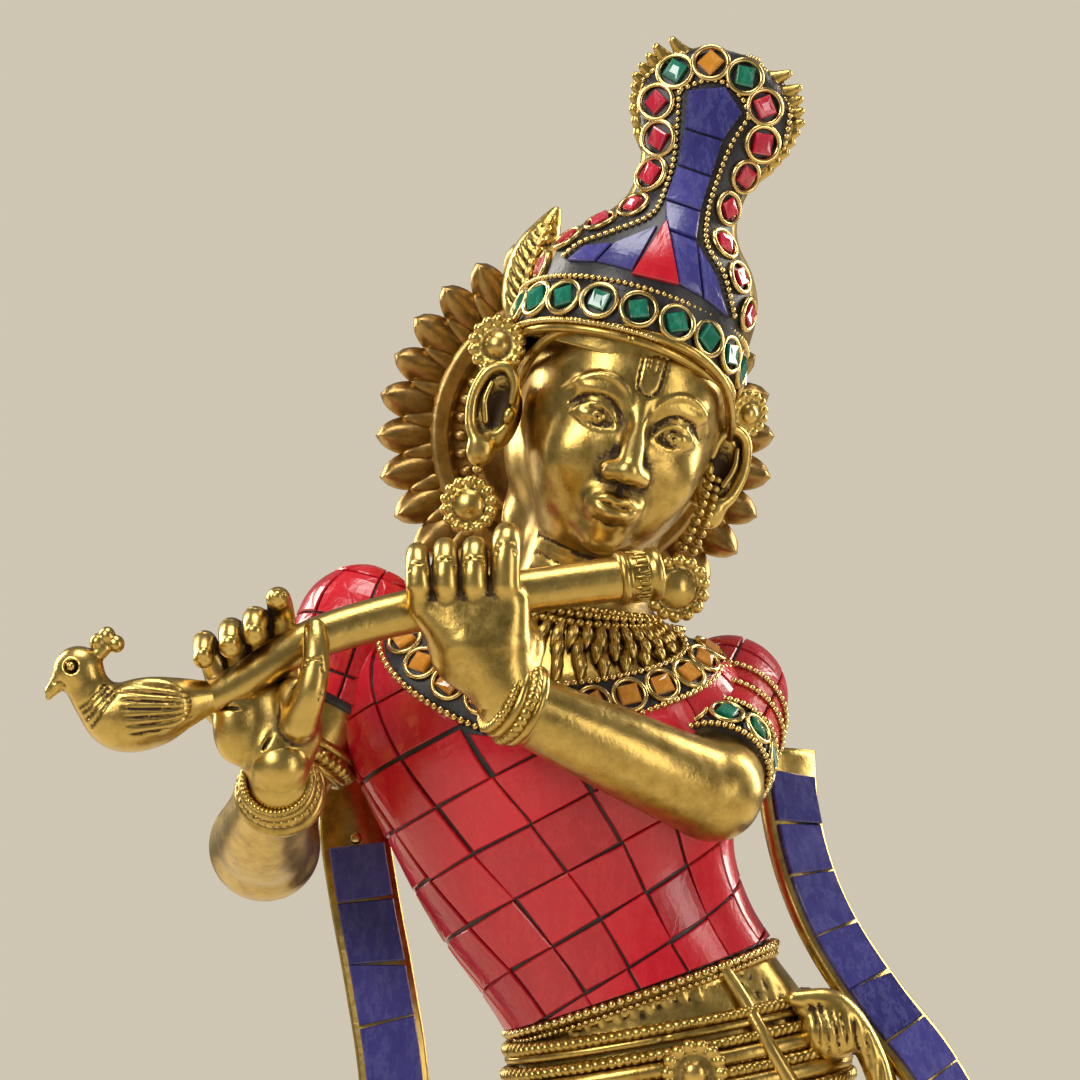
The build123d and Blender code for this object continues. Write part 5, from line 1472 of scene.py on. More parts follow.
def arms():
    """Both arms, with the sleeves, the cuff, the armlet and the bangles."""
    right = [[(*SHOULDER_R, 8.6), (-46, -2, 253, 7.6), (-52, -4.4, 242, 7.0), (*ELBOW_R, 7.6)],
        [(*ELBOW_R, 8.0), (-54.6, -16, 234.2, 7.6), (-53.4, -27, 238.0, 6.2), (-51.8, -36.5, 242.4, 5.2),
            (-51.4, -40.5, 246, 4.6)]]
    clay = limb(right, (-68, -46, 218), (-26, 16, 280), eggs=(((-55.0, -8, 231.8), (8.6, 8.2, 8.4)),))
    cast("right arm", clay, "right_arm")
    left = [[(*SHOULDER_L, 8.0), (18.2, -3, 249.8, 7.8), (17.0, -12, 244.0, 7.5), (*ELBOW_L, 7.5)],
        [(*ELBOW_L, 7.6), (11.5, -21, 243.0, 7.4), (3.5, -26.4, 246.6, 6.9), (-6.5, -31.2, 251.3, 6.1),
            (-16.2, -35, 256.0, 5.2)]]
    clay = limb(left, (-26, -46, 226), (36, 20, 272), eggs=(((16.4, -17.4, 241.2), (7.3, 7.2, 7.5)),))
    cast("left arm", clay, "left_arm")

    for side, base, end, name in ((-1, SHOULDER_R, (-52, -4.4, 242), "right"),
            (1, SHOULDER_L, ELBOW_L, "left")):
        axis = unit(np.array(end) - np.array(base))
        lac = Clay(np.array(base) - 30, np.array(base) + 30, 0.45)
        stop = np.array(base) + axis * (13.5 if side < 0 else 22.4)
        lac.tube([(*(np.array(base) - axis * 0.5), 9.6 if side < 0 else 9.0),
                (*stop, 8.9 if side < 0 else 8.6)], 0.4)
        window = tuple(slice(0, n) for n in lac.field.shape)
        x, y, z = lac.places(window)
        along = (x - stop[0]) * axis[0] + (y - stop[1]) * axis[1] + (z - stop[2]) * axis[2]
        lac.field = np.maximum(lac.field, along.astype(np.float32))
        verts, quads = cast(name + " sleeve lac", lac, name + "_sleeve_lac", finish=LAC, slot="black_lac")
        end = 12.4 if side < 0 else 15.0
        flat = sleeve(name + " sleeve tiles", Ground(verts, quads), base, axis, 9.6 if side < 0 else 9.0,
            end, SLEEVE_TILE, 8 * side, [name + "_sleeve_tiles"])
        circle = lambda v, r: np.array([np.array(base) + axis * v + (flat.out * math.cos(a) + flat.side
                    * math.sin(a)) * r for a in turns(60)])
        if side > 0:
            seats, stones = [], []
            for a in turns(10):
                out = flat.out * math.cos(a) + flat.side * math.sin(a)
                p = np.array(base) + axis * 18.8 + out * 8.9
                seats.append((p + out * 0.2, out, axis, RING))
                stones.append((p + out * 0.4, out, axis, (3.0, 3.0, 3.0)))
            rings = at_seats("cuff rings", seats, RING_SHAPE, WIRE_BRASS, smooth_faces=True)
            edges = bead_wire("cuff beads", [(circle(15.2, 9.3), True), (circle(22.3, 8.9), True),
                    (circle(5.6, 10.1), True), (circle(10.6, 10.0), True)], WIRE_BRASS, 0.55, 1.1)
            show(joined("cuff wires", rings, edges), "brass_wire", "left_cuff_rings")
            show(at_seats("cuff stones", stones, CHIP_SHAPE, GREEN, 0.5, 0.12, 0.08, 9, False),
                "green_stone", "left_cuff_green_stones")

    def hoop(centre, along, radius, thick, knurled=False):
        """A plain or twisted wire hoop square to a direction."""
        turn = Vector(unit(along)).to_track_quat("Z", "X").to_matrix()
        points = np.array([np.array(centre)
                + np.array(turn @ Vector((radius * math.cos(a), radius * math.sin(a), 0)))
                for a in turns(72)])
        if knurled:
            return bead_wire("hoop", [(points, True)], BRASS, thick, thick * 1.15, 1.25, 0.75)
        line = np.vstack([points, points[:1]])
        body = Shell()
        body.add(*tube_body(np.column_stack([line, np.full(len(line), thick)]), 12))
        return body.piece("hoop", BRASS)

    along = unit(np.array([-1.6, -22, 8.0]))
    wrist = np.array([-51.7, -36.6, 242.4])
    show(joined("right bangle", hoop(wrist - along * 2.6, along, 5.9, 1.35),
            hoop(wrist, along, 5.7, 1.0, knurled=True), hoop(wrist + along * 1.9, along, 5.4, 0.75),
            hoop(wrist + along * 3.2, along, 5.2, 0.6, knurled=True)), "aged_brass", "right_bangle")
    along = unit(np.array([-22, -8.6, 10.2]))
    wrist = np.array([-14.9, -34.4, 255.6])
    show(joined("left bangle", hoop(wrist - along * 1.6, along, 6.0, 0.8),
            hoop(wrist, along, 6.0, 1.1, knurled=True), hoop(wrist + along * 1.5, along, 5.8, 0.85),
            hoop(wrist + along * 2.9, along, 5.5, 0.8, knurled=True)), "aged_brass", "left_bangle")
    along = unit(np.array([-12, -4.4, -24]))
    centre = np.array([-49.5, -3.2, 247.0])
    show(joined("right armlet", hoop(centre - along * 1.8, along, 8.4, 0.8),
            hoop(centre, along, 8.5, 1.3, knurled=True), hoop(centre + along * 1.8, along, 8.1, 0.8)),
        "aged_brass", "right_armlet")


# ------------------------------------------------------------------ hands
def finger(clay, points, soft=0.45):
    """A finger along its joints."""
    clay.tube(smooth(points, 0.5), soft)


def nail(clay, place, facing, size=1.25):
    """A small flat nail let into a fingertip."""
    place, facing = np.array(place, float), unit(np.array(facing, float))
    clay.egg(place + facing * 0.1, (size, size * 0.62, size * 0.9), 0.12, cut=True)
    clay.egg(place - facing * 0.15, (size * 0.92, size * 0.62, size * 0.84), 0.08)


def left_hand():
    """The near hand: its back to the front, four fingers bent over the flute."""
    clay = Clay((-36, -46, 248), (-8, -20, 286), 0.27)
    clay.tube([(-13.5, -34.2, 253.8, 5.0), (-17.4, -35.6, 259.0, 5.0)], 1.0)
    for x, z, r in ((-16.2, 271.5, 3.4), (-20.2, 272.2, 3.4), (-24.6, 271.8, 3.3), (-28.6, 270.4, 3.1)):
        clay.tube([(-16.8, -35.6, 258.0, 4.4), ((x - 17.5) / 2, -36.9, 265.0, 4.3), (x, -36.6, z, r)], 1.6)
    clay.egg((-20.8, -35.6, 264.0), (7.6, 4.4, 7.0), 2.0)
    for x, lean, top, r, bend in ((-16.6, 1.0, 281.4, 2.15, 0.0), (-21.4, 0.2, 279.4, 2.0, 0.4),
            (-25.8, -0.3, 279.2, 1.95, 0.4), (-30.0, -0.8, 278.6, 1.8, 0.4)):
        finger(clay, [(x + 0.3, -37.2, 270.6, r + 0.35), (x, -38.6 - bend, 274.6, r + 0.2),
                (x + 0.15 * lean, -38.3, top - 1.8, r + 0.12), (x + 0.3 * lean, -36.0, top, r),
                (x + 0.3 * lean, -31.6, top - 0.3, r - 0.15), (x + 0.2, -27.4, top - 2.8, r - 0.3),
                (x, -26.3, top - 6.4, r - 0.45)])
        for z in (top - 1.4, top - 2.5):
            clay.tube([(x - r * 0.8, -40.1, z, 0.2), (x + r * 0.8, -40.1, z, 0.2)], 0.25, cut=True)
        clay.egg((x, -39.2 - bend, 273.6), (1.7, 1.3, 1.3), 0.8)
    for x in (-18.8, -23.6, -27.9):
        clay.tube([(x, -41.0, 275.6, 0.5), (x + 0.2, -40.6, 272.6, 0.3)], 0.4, cut=True)
    finger(clay, [(-14.6, -35.0, 260.6, 3.4), (-13.2, -33.4, 264.5, 2.7), (-14.6, -29.6, 267.4, 2.3),
            (-18.2, -27.4, 268.2, 2.0)], soft=1.0)
    cast("left hand", clay, "left_hand")


def right_hand():
    """The far hand: its palm to the front, three fingertips on the flute, one raised, the thumb below."""
    clay = Clay((-70, -54, 238), (-38, -24, 278), 0.27)
    clay.tube([(-51.5, -38.4, 243.0, 4.9), (-52.0, -39.4, 248.0, 4.9)], 1.0)
    clay.egg((-52.6, -39.0, 251.6), (7.8, 4.2, 7.4), 2.0)
    clay.egg((-48.8, -41.6, 254.6), (3.7, 3.2, 5.2), 1.3)
    clay.egg((-58.2, -41.0, 252.2), (3.6, 3.2, 6.0), 1.6)
    for x0, x1, top, r, lean in ((-60.6, -63.0, 264.6, 1.85, -45.6), (-57.2, -58.9, 266.4, 2.05, -45.4),
            (-53.6, -55.2, 268.2, 2.0, -45.0)):
        finger(clay, [(x0, -38.6, 254.4, r + 0.7), (x0 - 0.4, -36.6, 259.0, r + 0.3),
                (x1 + 0.4, -37.0, top - 1.0, r + 0.1), (x1, -39.8, top + 0.4, r),
                (x1, -43.2, top - 0.1, r - 0.1), (x1, lean, top - 2.0, r - 0.25)])
        nail(clay, (x1, lean - r * 0.72, top - 1.2), (0, -1, 0.55), r * 0.62)
        for z in (0.2, 1.2):
            clay.tube([(x1 - r * 0.7, -41.6 - z, top + r * 0.95, 0.16),
                    (x1 + r * 0.7, -41.6 - z, top + r * 0.95, 0.16)], 0.2, cut=True)
    finger(clay, [(-50.4, -38.2, 256.2, 2.6), (-50.6, -36.6, 262.0, 2.3), (-51.2, -36.8, 268.4, 2.1),
            (-51.6, -39.4, 271.4, 1.95), (-51.7, -43.4, 271.8, 1.75)])
    nail(clay, (-51.7, -45.0, 272.2), (0, -1, 0.2), 1.0)
    finger(clay, [(-48.4, -43.0, 252.6, 3.0), (-46.6, -45.2, 257.4, 2.45), (-45.8, -45.0, 261.4, 2.2),
            (-45.7, -43.6, 264.8, 2.1), (-45.9, -42.2, 267.0, 1.75)], soft=0.8)
    for z in (256.2, 257.2, 260.6, 261.5, 262.3):
        clay.tube([(-48.2, -46.4, z, 0.18), (-44.4, -46.8, z + 0.2, 0.18)], 0.25, cut=True)
    for path in ([(-51.6, -43.6, 257.6), (-51.8, -44.2, 253.0), (-53.8, -43.6, 248.6)],
            [(-52.4, -43.4, 257.8), (-56.2, -44.0, 255.2), (-60.4, -43.0, 254.8)],
            [(-61.4, -43.0, 257.0), (-57.4, -43.8, 257.6), (-54.2, -43.2, 259.6)]):
        clay.tube(smooth([(*p, 0.3) for p in path], 0.4), 0.4, cut=True)
    cast("right hand", clay, "right_hand")


# ------------------------------------------------------------------ flute
def flute():
    """The bent flute with its ferrule and the bird at its far end."""
    clay = Clay((-70, -50, 250), (14, -18, 281), 0.3)
    clay.tube(smooth(FLUTE, 0.8), 0.3)
    for t in (0.36, 0.44):
        line = smooth(FLUTE, 0.8)
        p = line[int(len(line) * t)]
        clay.egg((p[0], p[1] - p[3] + 0.2, p[2] + 0.4), (0.9, 1.0, 0.9), 0.3, cut=True)
    cast("flute tube", clay, "flute_tube")
    axis = unit(np.array([14.7, 3.6, 1.9]))
    base = np.array([0.8, -25.0, 274.7])
    turn = Vector(axis).to_track_quat("Z", "Y").to_matrix()
    outline = [(0, 0), (3.9, 0), (4.25, 0.4), (4.25, 1.2), (3.75, 1.5), (3.8, 2.0), (3.8, 4.6), (3.75, 5.0),
        (4.25, 5.3), (4.3, 6.4), (4.0, 6.9), (0, 6.9)]
    body = Shell()
    body.add(*lathe(outline, 64, base, turn))
    for k in range(14):
        a = 2 * math.pi * k / 14
        spots = [(a, 2.1), (a, 4.5), (a + 0.26, 4.5), (a + 0.26, 2.9), (a + 0.12, 2.9)]
        line = [(*(base + np.array(turn @ Vector((3.95 * math.cos(b), 3.95 * math.sin(b), h)))), 0.24)
            for b, h in spots]
        body.add(*tube_body(np.array(line), 6))
    show(body.piece("flute ferrule", BRASS), "aged_brass", "flute_ferrule")

    bird = Clay((-90, -54, 245), (-60, -36, 271), 0.25)
    bird.tube(smooth([(-63.0, -42.9, 256.4, 2.7), (-67.4, -43.8, 255.4, 4.2), (-71.6, -44.6, 254.2, 5.5),
                (-75.6, -45.2, 253.6, 5.3), (-78.8, -45.8, 255.6, 3.9), (-81.2, -46.0, 258.8, 3.2)], 0.6),
        0.8)
    bird.egg((-82.2, -46, 260.8), (3.9, 3.4, 3.7), 0.8)
    bird.tube([(-84.6, -46, 259.6, 1.7), (-86.4, -46, 257.6, 1.0), (-86.8, -46, 256.6, 0.5)], 0.5)
    bird.tube([(-79.9, -46, 262.6, 1.3), (-78.4, -46, 264.2, 1.3)], 0.3)
    for dx, dz in ((-1.4, 0.3), (0.0, 1.3), (1.4, 0.0)):
        bird.egg((-77.8 + dx, -46, 264.8 + dz), (1.3, 1.5, 1.4), 0.25)
    for side in (-1, 1):
        bird.egg((-71.0, -45.2 - side * 3.6, 255.4), (6.4, 1.9, 4.3), 0.8)
        bird.egg((-83.2, -46 - side * 3.1, 261.4), 1.15, 0.2, cut=True)
        bird.egg((-83.2, -46 - side * 2.8, 261.4), 0.72, 0.1)
    bird.front()
    for k in range(7):
        z = 1.35 * k
        bird.draw([(-76.2 + 0.35 * k, 259.0 - z), (-72.0, 258.6 - z * 0.92), (-67.6, 258.0 - z * 0.75),
                (-64.6, 257.2 - z * 0.45)], (0.34, 0.15), 0.0, 0.25)
    for k in range(4):
        bird.draw([(-84.0 + 1.2 * k, 254.4 - 0.9 * k), (-80.8 + 0.9 * k, 255.8 - 0.3 * k),
                (-78.0 + 0.5 * k, 258.6 - 0.5 * k)], 0.26, 0.0, 0.2)
    bird.draw([(-86.6, 258.6), (-85.2, 259.0), (-84.2, 258.4)], 0.2, 0.0, 0.15)
    cast("flute bird", bird, "flute_bird")


# ------------------------------------------------------------------ scarves
SCARF_R = [(-40, 12, 246), (-41.2, 9, 236), (-39.6, 7, 224), (-37, 5, 210), (-34.6, 3, 194),
    (-33.6, 2, 172), (-35, 1, 145), (-38.5, 0, 112), (-40.5, 0, 78), (-38, 0, 48), (-35.5, 0, 30)]
SCARF_L = [(28.4, 11, 247), (29, 9, 238), (31.2, 6, 228), (35.4, 3, 218), (42.6, 0, 207), (51.4, -2, 195.5),
    (58.6, -2, 180), (60.6, -1, 158), (57, 0, 128), (50, 0, 92), (43, 0, 56), (38.5, 0, 30)]


def strip(line, front, half, thick, name, finish, slot, *nodes):
    """A flat band along a line, its face towards front, with rounded edges."""
    line = smooth(line, 1.5)
    along = unit(np.gradient(line[:, :3], axis=0))
    across = unit(np.cross(along, np.asarray(front, float)))
    across = across * np.where(across[:, :1] < 0, -1, 1)
    out = unit(np.cross(across, along))
    out = out * np.where((out @ np.asarray(front, float))[:, None] < 0, -1, 1)
    section = [(-half, 0.35 * thick), (-half + 0.4, 0.5 * thick), (half - 0.4, 0.5 * thick),
        (half, 0.35 * thick), (half, -0.35 * thick), (half - 0.4, -0.5 * thick),
        (-half + 0.4, -0.5 * thick), (-half, -0.35 * thick)]
    verts = np.concatenate([[p + a * s + o * t for s, t in section] for p, a,
            o in zip(line[:, :3], across, out)])
    n = len(section)
    faces = walls(len(line), n)
    faces += [list(range(n))[::-1], [len(verts) - n + j for j in range(n)]]
    check = np.cross(verts[1] - verts[0], verts[n] - verts[0]) @ ((verts[0] + verts[1]) / 2 - line[0, :3])
    faces = faces if check > 0 else [f[::-1] for f in faces]
    # The relief makes the rounded edges read as raised and the back face as a shallow hollow, which takes
    # patina and painted shade.
    show(mesh_of(name, verts, faces, finish,
            {"relief": np.tile([0.3, 0.0, 0.0, 0.3, 0.1, -0.1, -0.1, 0.1], len(line))}), slot, *nodes)
    return line, across, out


def scarves():
    """Two long brass bands with lapis tiles on their faces, and a rivet."""
    for name, route, front, half, skip in (("right", SCARF_R, (0.08, -1, 0.05), 5.6, 15.0),
            ("left", SCARF_L, (0.58, -0.8, 0.1), 5.4, 4.0)):
        line, across, out = strip(route, front, half, 2.4, name + " scarf", BRASS, "aged_brass",
            name + "_scarf")
        steps = np.concatenate([[0], np.cumsum(np.linalg.norm(np.diff(line[:, :3], axis=0), axis=1))])

        def at(u, v, proud):
            spot = [np.array([np.interp(v, steps, m[:, k]) for k in range(3)]) for m in (line, across, out)]
            return spot[0] + spot[1] * u + spot[2] * (1.2 + proud), spot[2]

        shell, low = Shell(), skip
        while low < steps[-1] - 4:
            high = min(low + SCARF_TILE * (1 + chance.normal(0, 0.05)), steps[-1] - 1)
            slope = chance.normal(0, 0.35, 2)
            polygon = np.array([(-half + 0.9, low - slope[0]), (half - 0.9, low + slope[0]),
                    (half - 0.9, high + slope[1]), (-half + 0.9, high - slope[1])])
            lay_stone(shell, polygon, at, TILE_PROUD + 0.15, 0.4, 2.0, tilt=0.02)
            low = high
        show(shell.piece(name + " scarf tiles", LAPIS, crisp=True), "blue_tile", name + "_scarf_tiles")
        if name == "right":
            p, facing = at(0, skip - 1.0 if skip > 6 else skip, 0.4)
            rivet = Shell()
            rivet.add(*lathe([(0, -1.6), (1.0, -1.6), (1.0, 0.0), (0.75, 0.32), (0.4, 0.45), (0, 0.5)], 20,
                    p - facing * 0.2, Vector(facing).to_track_quat("Z", "X").to_matrix()))
            show(rivet.piece("scarf rivet", WIRE_BRASS), "brass_wire", "scarf_rivet")


# ------------------------------------------------------------------ legs
def legs():
    """Hips, crossed legs under a pleated cloth, and the feet."""
    clay = Clay((-30, -30, 28), (48, 24, 222), 0.7)
    hips = [(3.4, 1, 218, 18.6, 12.4, -18), (6.2, 1, 209, 20.6, 14.0, -17), (8.4, 1, 202, 23.6, 15.4, -13),
        (11, 0.5, 192, 26.4, 16.6, -9), (11.5, 0.5, 178, 27.2, 17, -4), (9.5, 0.5, 162, 26.2, 16.2, 0),
        (7.5, 0.5, 150, 23.5, 14.8, 0)]
    clay.stack(hips[::-1], 1.0)
    standing = [(18, 3, 178, 13.8), (16.5, 3, 150, 13.0), (13, 2, 122, 11.2), (10, 2, 106, 10.2),
        (7.4, 3.6, 88, 10.4), (4.4, 4.4, 64, 8.8), (2, 4, 46, 7.6)]
    crossed = [(-3, 1, 176, 13.2), (-6, -1, 150, 12.8), (-4, -4.6, 122, 11.2), (0, -6.4, 107, 10.2),
        (4, -6.8, 90, 10.4), (10, -8.6, 64, 8.8), (14, -9.8, 48, 7.4)]
    for line, phase in ((standing, 0.0), (crossed, 1.2)):
        path = smooth(line, 1.0)
        path[:, 3] += 0.45 * np.sin(path[:, 2] * 0.62 + phase) * np.clip((path[:, 2] - 50) / 60, 0, 1)
        clay.tube(path, 2.0)
    for foot, knee in (((2, 4, 33), (2, 4, 48)), ((15, -10, 36), (14.2, -9.8, 48))):
        clay.tube([(*knee, 5.6), (*foot, 4.9)], 1.0)
    clay.tube(smooth([(2, 9, 33.6, 4.2), (2, 0, 34.2, 4.6), (1.4, -9, 33.0, 4.2), (1.0, -13.5, 32.0, 3.4)],
            1.0), 1.0)
    clay.tube(smooth([(15.4, -7.5, 38.5, 4.0), (16.6, -12, 35.8, 4.2), (18.6, -18, 33.0, 3.6),
                (19.6, -21, 32.2, 3.0)], 1.0), 1.0)
    for k in range(5):
        clay.egg((-1.9 + 1.5 * k, -16.4 + 0.5 * abs(k - 1.5), 31.6), (0.95 + 0.12 * (k == 3), 1.7, 1.1),
            0.3)
        clay.egg((17.2 + 1.3 * k, -23.6 + 0.55 * abs(k - 1.5), 31.6), (0.85 + 0.12 * (k == 0), 1.6, 1.1),
            0.3)
    clay.front()
    for k in range(9):
        z = 182 - 9.5 * k
        clay.draw([(-19 + 0.6 * k, z + 6), (-6, z - 3), (6, z - 8)], (0.9, 0.3), 0.0, 0.8)
        clay.draw([(36 - 0.9 * k, z + 4), (26, z - 4), (14, z - 8)], (0.9, 0.3), 0.0, 0.8)
    for base, far in (((-16, 190), 1), ((36, 186), -1)):
        for k in range(4):
            clay.draw([(base[0] + 3 * k * far, base[1] + 2 + k),
                    (base[0] + 5 * k * far + 2 * far, base[1] - 6 + k)], (0.5, 0.2), 0.0, 0.3)
    for k in range(5):
        clay.draw([(18.5 + 1.9 * k, 212.8 - 0.5 * k), (20.4 + 2.0 * k, 208.0 - 0.9 * k),
                (25.0 + 1.5 * k, 203.8 - 0.7 * k)], (0.34, 0.2), 0.0, 0.35)
    for k in range(9):
        x, z = -7.0 + 2.5 * k, 205.6 + 0.72 * k
        clay.draw([(x, z), (x + 0.5, z - 1.6), (x + 1.1, z - 3.4)], (1.0, 0.3), 0.25, 0.35, cut=False)
    cast("legs", clay, "legs_casting")

    clay = Clay((-12, -34, 58), (30, -4, 196), 0.5)
    for k, x in enumerate(np.linspace(-5.2, 5.2, 5)):
        line = [(11 + x * 0.7, -15.6, 192, 1.6), (10.2 + x * 0.9, -17.2, 176, 1.9),
            (9 + x, -17.0, 150, 2.1), (7.5 + x * 1.2, -17.6, 118, 2.3), (7.5 + x * 1.5, -18.4, 88, 2.4),
            (7.8 + x * 1.75, -18.6, 66 + 2.2 * abs(k - 2), 2.4)]
        clay.tube(smooth(line, 1.0), 0.9)
    clay.front()
    for z in (70, 72.6, 96, 98.6, 128, 130.6):
        clay.draw([(-2, z + 0.6), (8, z), (18, z + 0.6)], 0.35, 0.0, 0.3)
    cast("front sash", clay, "front_sash")

    ring = lambda z, grow: np.array([(np.interp(z, [192, 209], [11, 6.2])
                + (np.interp(z, [192, 202, 209], [26.4, 23.6, 21]) + grow) * math.sin(a),
                0.7 - (np.interp(z, [192, 202, 209], [16.6, 15.4, 14.2]) + grow) * math.cos(a),
                z - 0.19 * (np.interp(z, [192, 209], [26, 21])) * -math.sin(a)) for a in turns(90)])
    bars = Shell()
    for z, r in ((193.0, 1.5), (197.4, 1.5), (202.0, 0.7)):
        line = ring(z, 0.9)
        line = np.vstack([line, line[:1]])
        bars.add(*tube_body(np.column_stack([line, np.full(len(line), r)]), 10, 0.8))
    ropes = bead_wire("ropes", [(ring(z, 1.2), True) for z in (195.2, 199.8, 190.6, 203.6)], BRASS, 1.0,
        1.3, 1.5, 0.8)
    clay = Clay((-7, -3.5, -7), (7, 5, 7), 0.26)
    rosette(clay, (0, 0, 0), 5.0, 2.0, 14)
    verts, quads, relief = clay.skin()
    buckle = mesh_of("buckle", verts + np.array([13.2, -17.6, 196.8]), quads, BRASS, {"relief": relief})
    show(joined("girdle", bars.piece("bars", BRASS), ropes, buckle), "aged_brass", "girdle")

    clay = Clay((15, -18, 166), (52, 12, 216), 0.4)
    for k in range(5):
        clay.tube(smooth([(29 + 1.2 * k, -10 + k, 208 - 1.4 * k, 1.3), (36 + 1.4 * k, -9 + k, 207 - 2 * k,
                    2.0), (42 + 0.8 * k, -8 + k, 198 - 3.0 * k, 2.0), (45 - 0.6 * k, -8 + k, 184 - 3.0 * k,
                    1.7), (46.5 - 1.4 * k, -8, 174 - 0.8 * k, 1.4)], 0.8), 0.4)
    clay.egg((35, -7.5, 203), (5.5, 4.6, 5.0), 1.0)
    clay.tube(smooth([(17.6, -11.0, 213.4, 1.0), (21.0, -11.8, 208.0, 1.1), (24.6, -13.6, 201.6, 1.2),
                (28.4, -13.8, 195.0, 1.4)], 0.8), 0.4)
    clay.front()
    for k in range(7):
        clay.draw([(31.2 + 1.8 * k, 207.8 - 0.7 * k), (32.6 + 1.7 * k, 204.6 - 1.3 * k),
                (33.0 + 1.6 * k, 200.8 - 1.6 * k)], (0.4, 0.2), 0.0, 0.35)
    cast("hip knot", clay, "hip_knot")

    hoops = []
    for centre, along in (((2, 4, 43), (0, 0, 1)), ((14.5, -9.9, 45), (0.1, -0.15, 1))):
        turn = Vector(along).to_track_quat("Z", "X").to_matrix()
        for shift, r in ((-1.6, 7.4), (0, 7.6), (1.8, 7.5)):
            line = np.array([np.array(centre)
                    + np.array(turn @ Vector((r * math.cos(a), r * math.sin(a), shift)))
                    for a in turns(60)])
            hoops.append((line, True))
    show(bead_wire("anklets", hoops, BRASS, 1.1, 1.5, 1.0), "aged_brass", "anklets")


def pedestal():
    """The hollow lotus base with two rows of petals, and the fixings under it."""
    outline = [(0, 27), (43.5, 27), (44.6, 25.5), (45, 6), (45, 0), (50, 0), (50, 3.2), (49.2, 4.2),
        (47.4, 4.6), (46.6, 6.2), (45.8, 12.5), (45.4, 15), (45.8, 18), (46.6, 23.8), (47.8, 25.2),
        (48.6, 26.4), (48.4, 28.6), (47.4, 29.6), (46.2, 30), (43.6, 30), (43.2, 29.4), (42.4, 29.4),
        (42.0, 30), (0, 30)]
    verts, faces = lathe(outline, 160)
    show(mesh_of("lotus pedestal", verts, faces, BRASS), "aged_brass", "lotus_pedestal")
    petal = petal_template()
    rows = []
    for count, radius, z, tip, size, phase in ((26, 45.2, 14.6, -1.22, 1.32, 0.0),
            (26, 45.2, 14.4, 1.28, 1.14, math.pi / 26)):
        base = wire_base([([(0, 0, 0), (1, 0, 0)], False)])
        rows.append(grown("petals", base, PETAL_RING, Petal=petal, Count=count, Radius=radius * MM, Tip=tip,
                Size=size, Phase=phase, Place=(0.0, 0.0, z * MM), Finish=BRASS))
    show(joined("pedestal petals", *rows), "aged_brass", "pedestal_petals")
    bpy.data.objects.remove(petal)
    studs, washers, nuts = Shell(), Shell(), Shell()
    for x, y in ((2, 4), (15, -9)):
        rod = [(0, 17.0), (1.6, 17.0)] + [(2.0 - 0.18 * (k % 2), 17.3 + 0.35 * k)
            for k in range(28)] + [(2.0, 30.5), (0, 30.5)]
        studs.add(*lathe(rod, 24, (x, y, 0)))
        washers.add(*lathe([(0, 25.8), (4.4, 25.8), (4.6, 26.0), (4.6, 26.9), (4.4, 27.1), (0, 27.1)],
                40, (x, y, 0)))
        body = lathe([(0, 22.2), (3.2, 22.2), (4.0, 22.8), (4.0, 25.4), (3.6, 25.8), (0, 25.8)],
            6, (x, y, 0))
        nuts.add(*body)
    show(studs.piece("foot studs", STEEL), "fixing_steel", "foot_studs")
    show(washers.piece("foot washers", STEEL), "fixing_steel", "foot_washers")
    show(nuts.piece("foot nuts", STEEL, crisp=True), "fixing_steel", "foot_nuts")


def fixing_screw():
    """The screw that holds the halo to the back of the head."""
    lo, hi = node_box("halo_screw")
    centre, turn = (lo + hi) / 2, Matrix.Rotation(math.radians(-90), 3, "X")
    half = (hi[1] - lo[1]) / 2
    r = (hi[0] - lo[0]) / 2
    outline = [(0, -half), (r * 0.45, -half), (r * 0.45, half - 2.4), (r, half - 2.2), (r, half - 1.0),
        (r * 0.8, half - 0.4), (r * 0.4, half - 0.1), (0, half)]
    body = Shell()
    body.add(*lathe(outline, 32, centre, turn))
    show(body.piece("halo screw", STEEL), "fixing_steel", "halo_screw")


torso()
arms()
left_hand()
right_hand()
flute()
scarves()
legs()
pedestal()
fixing_screw()


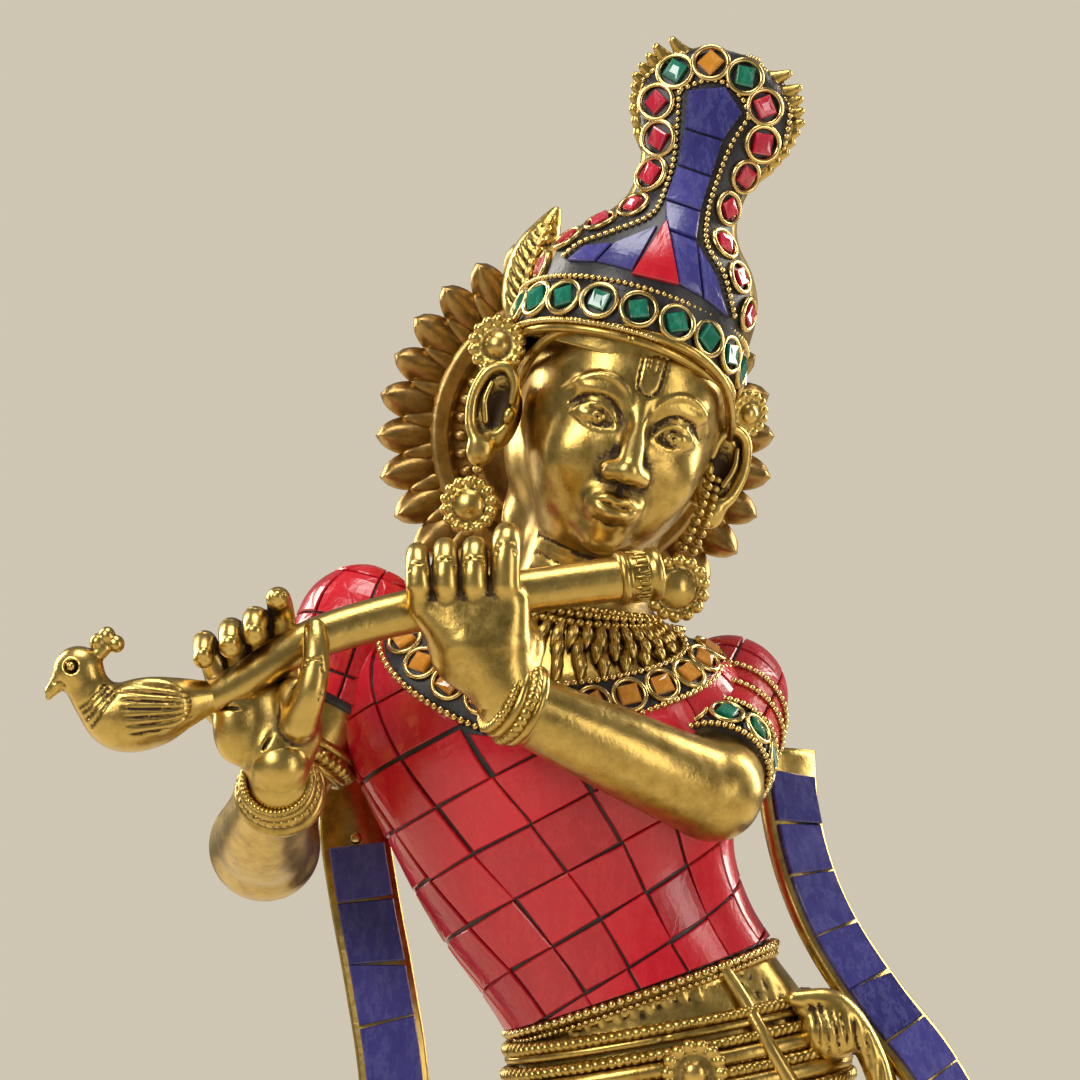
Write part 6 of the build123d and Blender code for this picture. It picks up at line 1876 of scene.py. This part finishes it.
# ------------------------------------------------------------------ studio
def studio():
    """A round pale floor, a plain pale backdrop, wide soft lights and the camera."""
    world = bpy.data.worlds.new("studio")
    bpy.context.scene.world = world
    world.use_nodes = True
    tree = world.node_tree
    lighting = tree.nodes["Background"]
    lighting.inputs["Color"].default_value = (0.50, 0.49, 0.46, 1)
    lighting.inputs["Strength"].default_value = 0.36
    backdrop = tree.nodes.new("ShaderNodeBackground")
    backdrop.inputs["Color"].default_value = (0.62, 0.565, 0.45, 1)
    seen = tree.nodes.new("ShaderNodeLightPath")
    choice = tree.nodes.new("ShaderNodeMixShader")
    tree.links.new(seen.outputs["Is Camera Ray"], choice.inputs[0])
    tree.links.new(lighting.outputs[0], choice.inputs[1])
    tree.links.new(backdrop.outputs[0], choice.inputs[2])
    tree.links.new(choice.outputs[0], tree.nodes["World Output"].inputs["Surface"])
    floor, tree, shader = blank("pale floor")
    tint = mixed(tree, ramp(tree, noise(tree, 3.0, 3.0, 0.5), [(0.3, 0.0), (0.7, 1.0)]),
        (0.60, 0.555, 0.46, 1), (0.66, 0.61, 0.505, 1))
    tree.links.new(tint, shader.inputs["Base Color"])
    shader.inputs["Roughness"].default_value = 0.7
    sweep = [(0.02, 0.0), (0.5, 0.0), (1.0, 0.0), (1.6, 0.0)]
    verts = [(r * math.cos(a), r * math.sin(a), z) for r, z in sweep for a in turns(72)]
    faces = [quad[::-1] for quad in walls(len(sweep), 72)]
    faces.append(list(range(72)))
    ground = mesh_of("floor", np.array(verts) / MM, faces, floor)
    for name, place, size, power, colour in (("key", (-0.75, -0.95, 0.95), (0.5, 0.7), 12.5,
            (1, 0.97, 0.92)), ("fill", (0.95, -0.75, 0.35), (0.3, 0.8), 3.6, (1, 0.95, 0.88)),
            ("rim left", (-0.7, 0.45, 0.6), (0.25, 0.7), 8.0, (1, 0.95, 0.85)),
            ("rim right", (0.75, 0.4, 0.55), (0.25, 0.7), 8.0, (1, 0.95, 0.85)),
            ("top", (0.0, -0.1, 1.15), (0.45, 0.45), 5.0, (1, 0.98, 0.95))):
        light = bpy.data.lights.new(name, "AREA")
        light.shape, (light.size, light.size_y) = "RECTANGLE", size
        light.energy, light.color = power, colour
        lamp = in_scene(name, light)
        lamp.location = place
        lamp.rotation_euler = (Vector((0, 0, 0.24)) - Vector(place)).to_track_quat("-Z", "Y").to_euler()
    bpy.context.scene.view_settings.view_transform = "Standard"
    lens = bpy.data.cameras.new("camera")
    lens.lens, lens.sensor_width = 250.0, 36.0
    camera = in_scene("camera", lens)
    camera.location = (-0.0112, -1.2, 0.2808)
    camera.rotation_euler = (math.radians(90), 0, 0)
    bpy.context.scene.camera = camera


for spare in (RING_SHAPE, CHIP_SHAPE):
    bpy.data.objects.remove(spare)
studio()
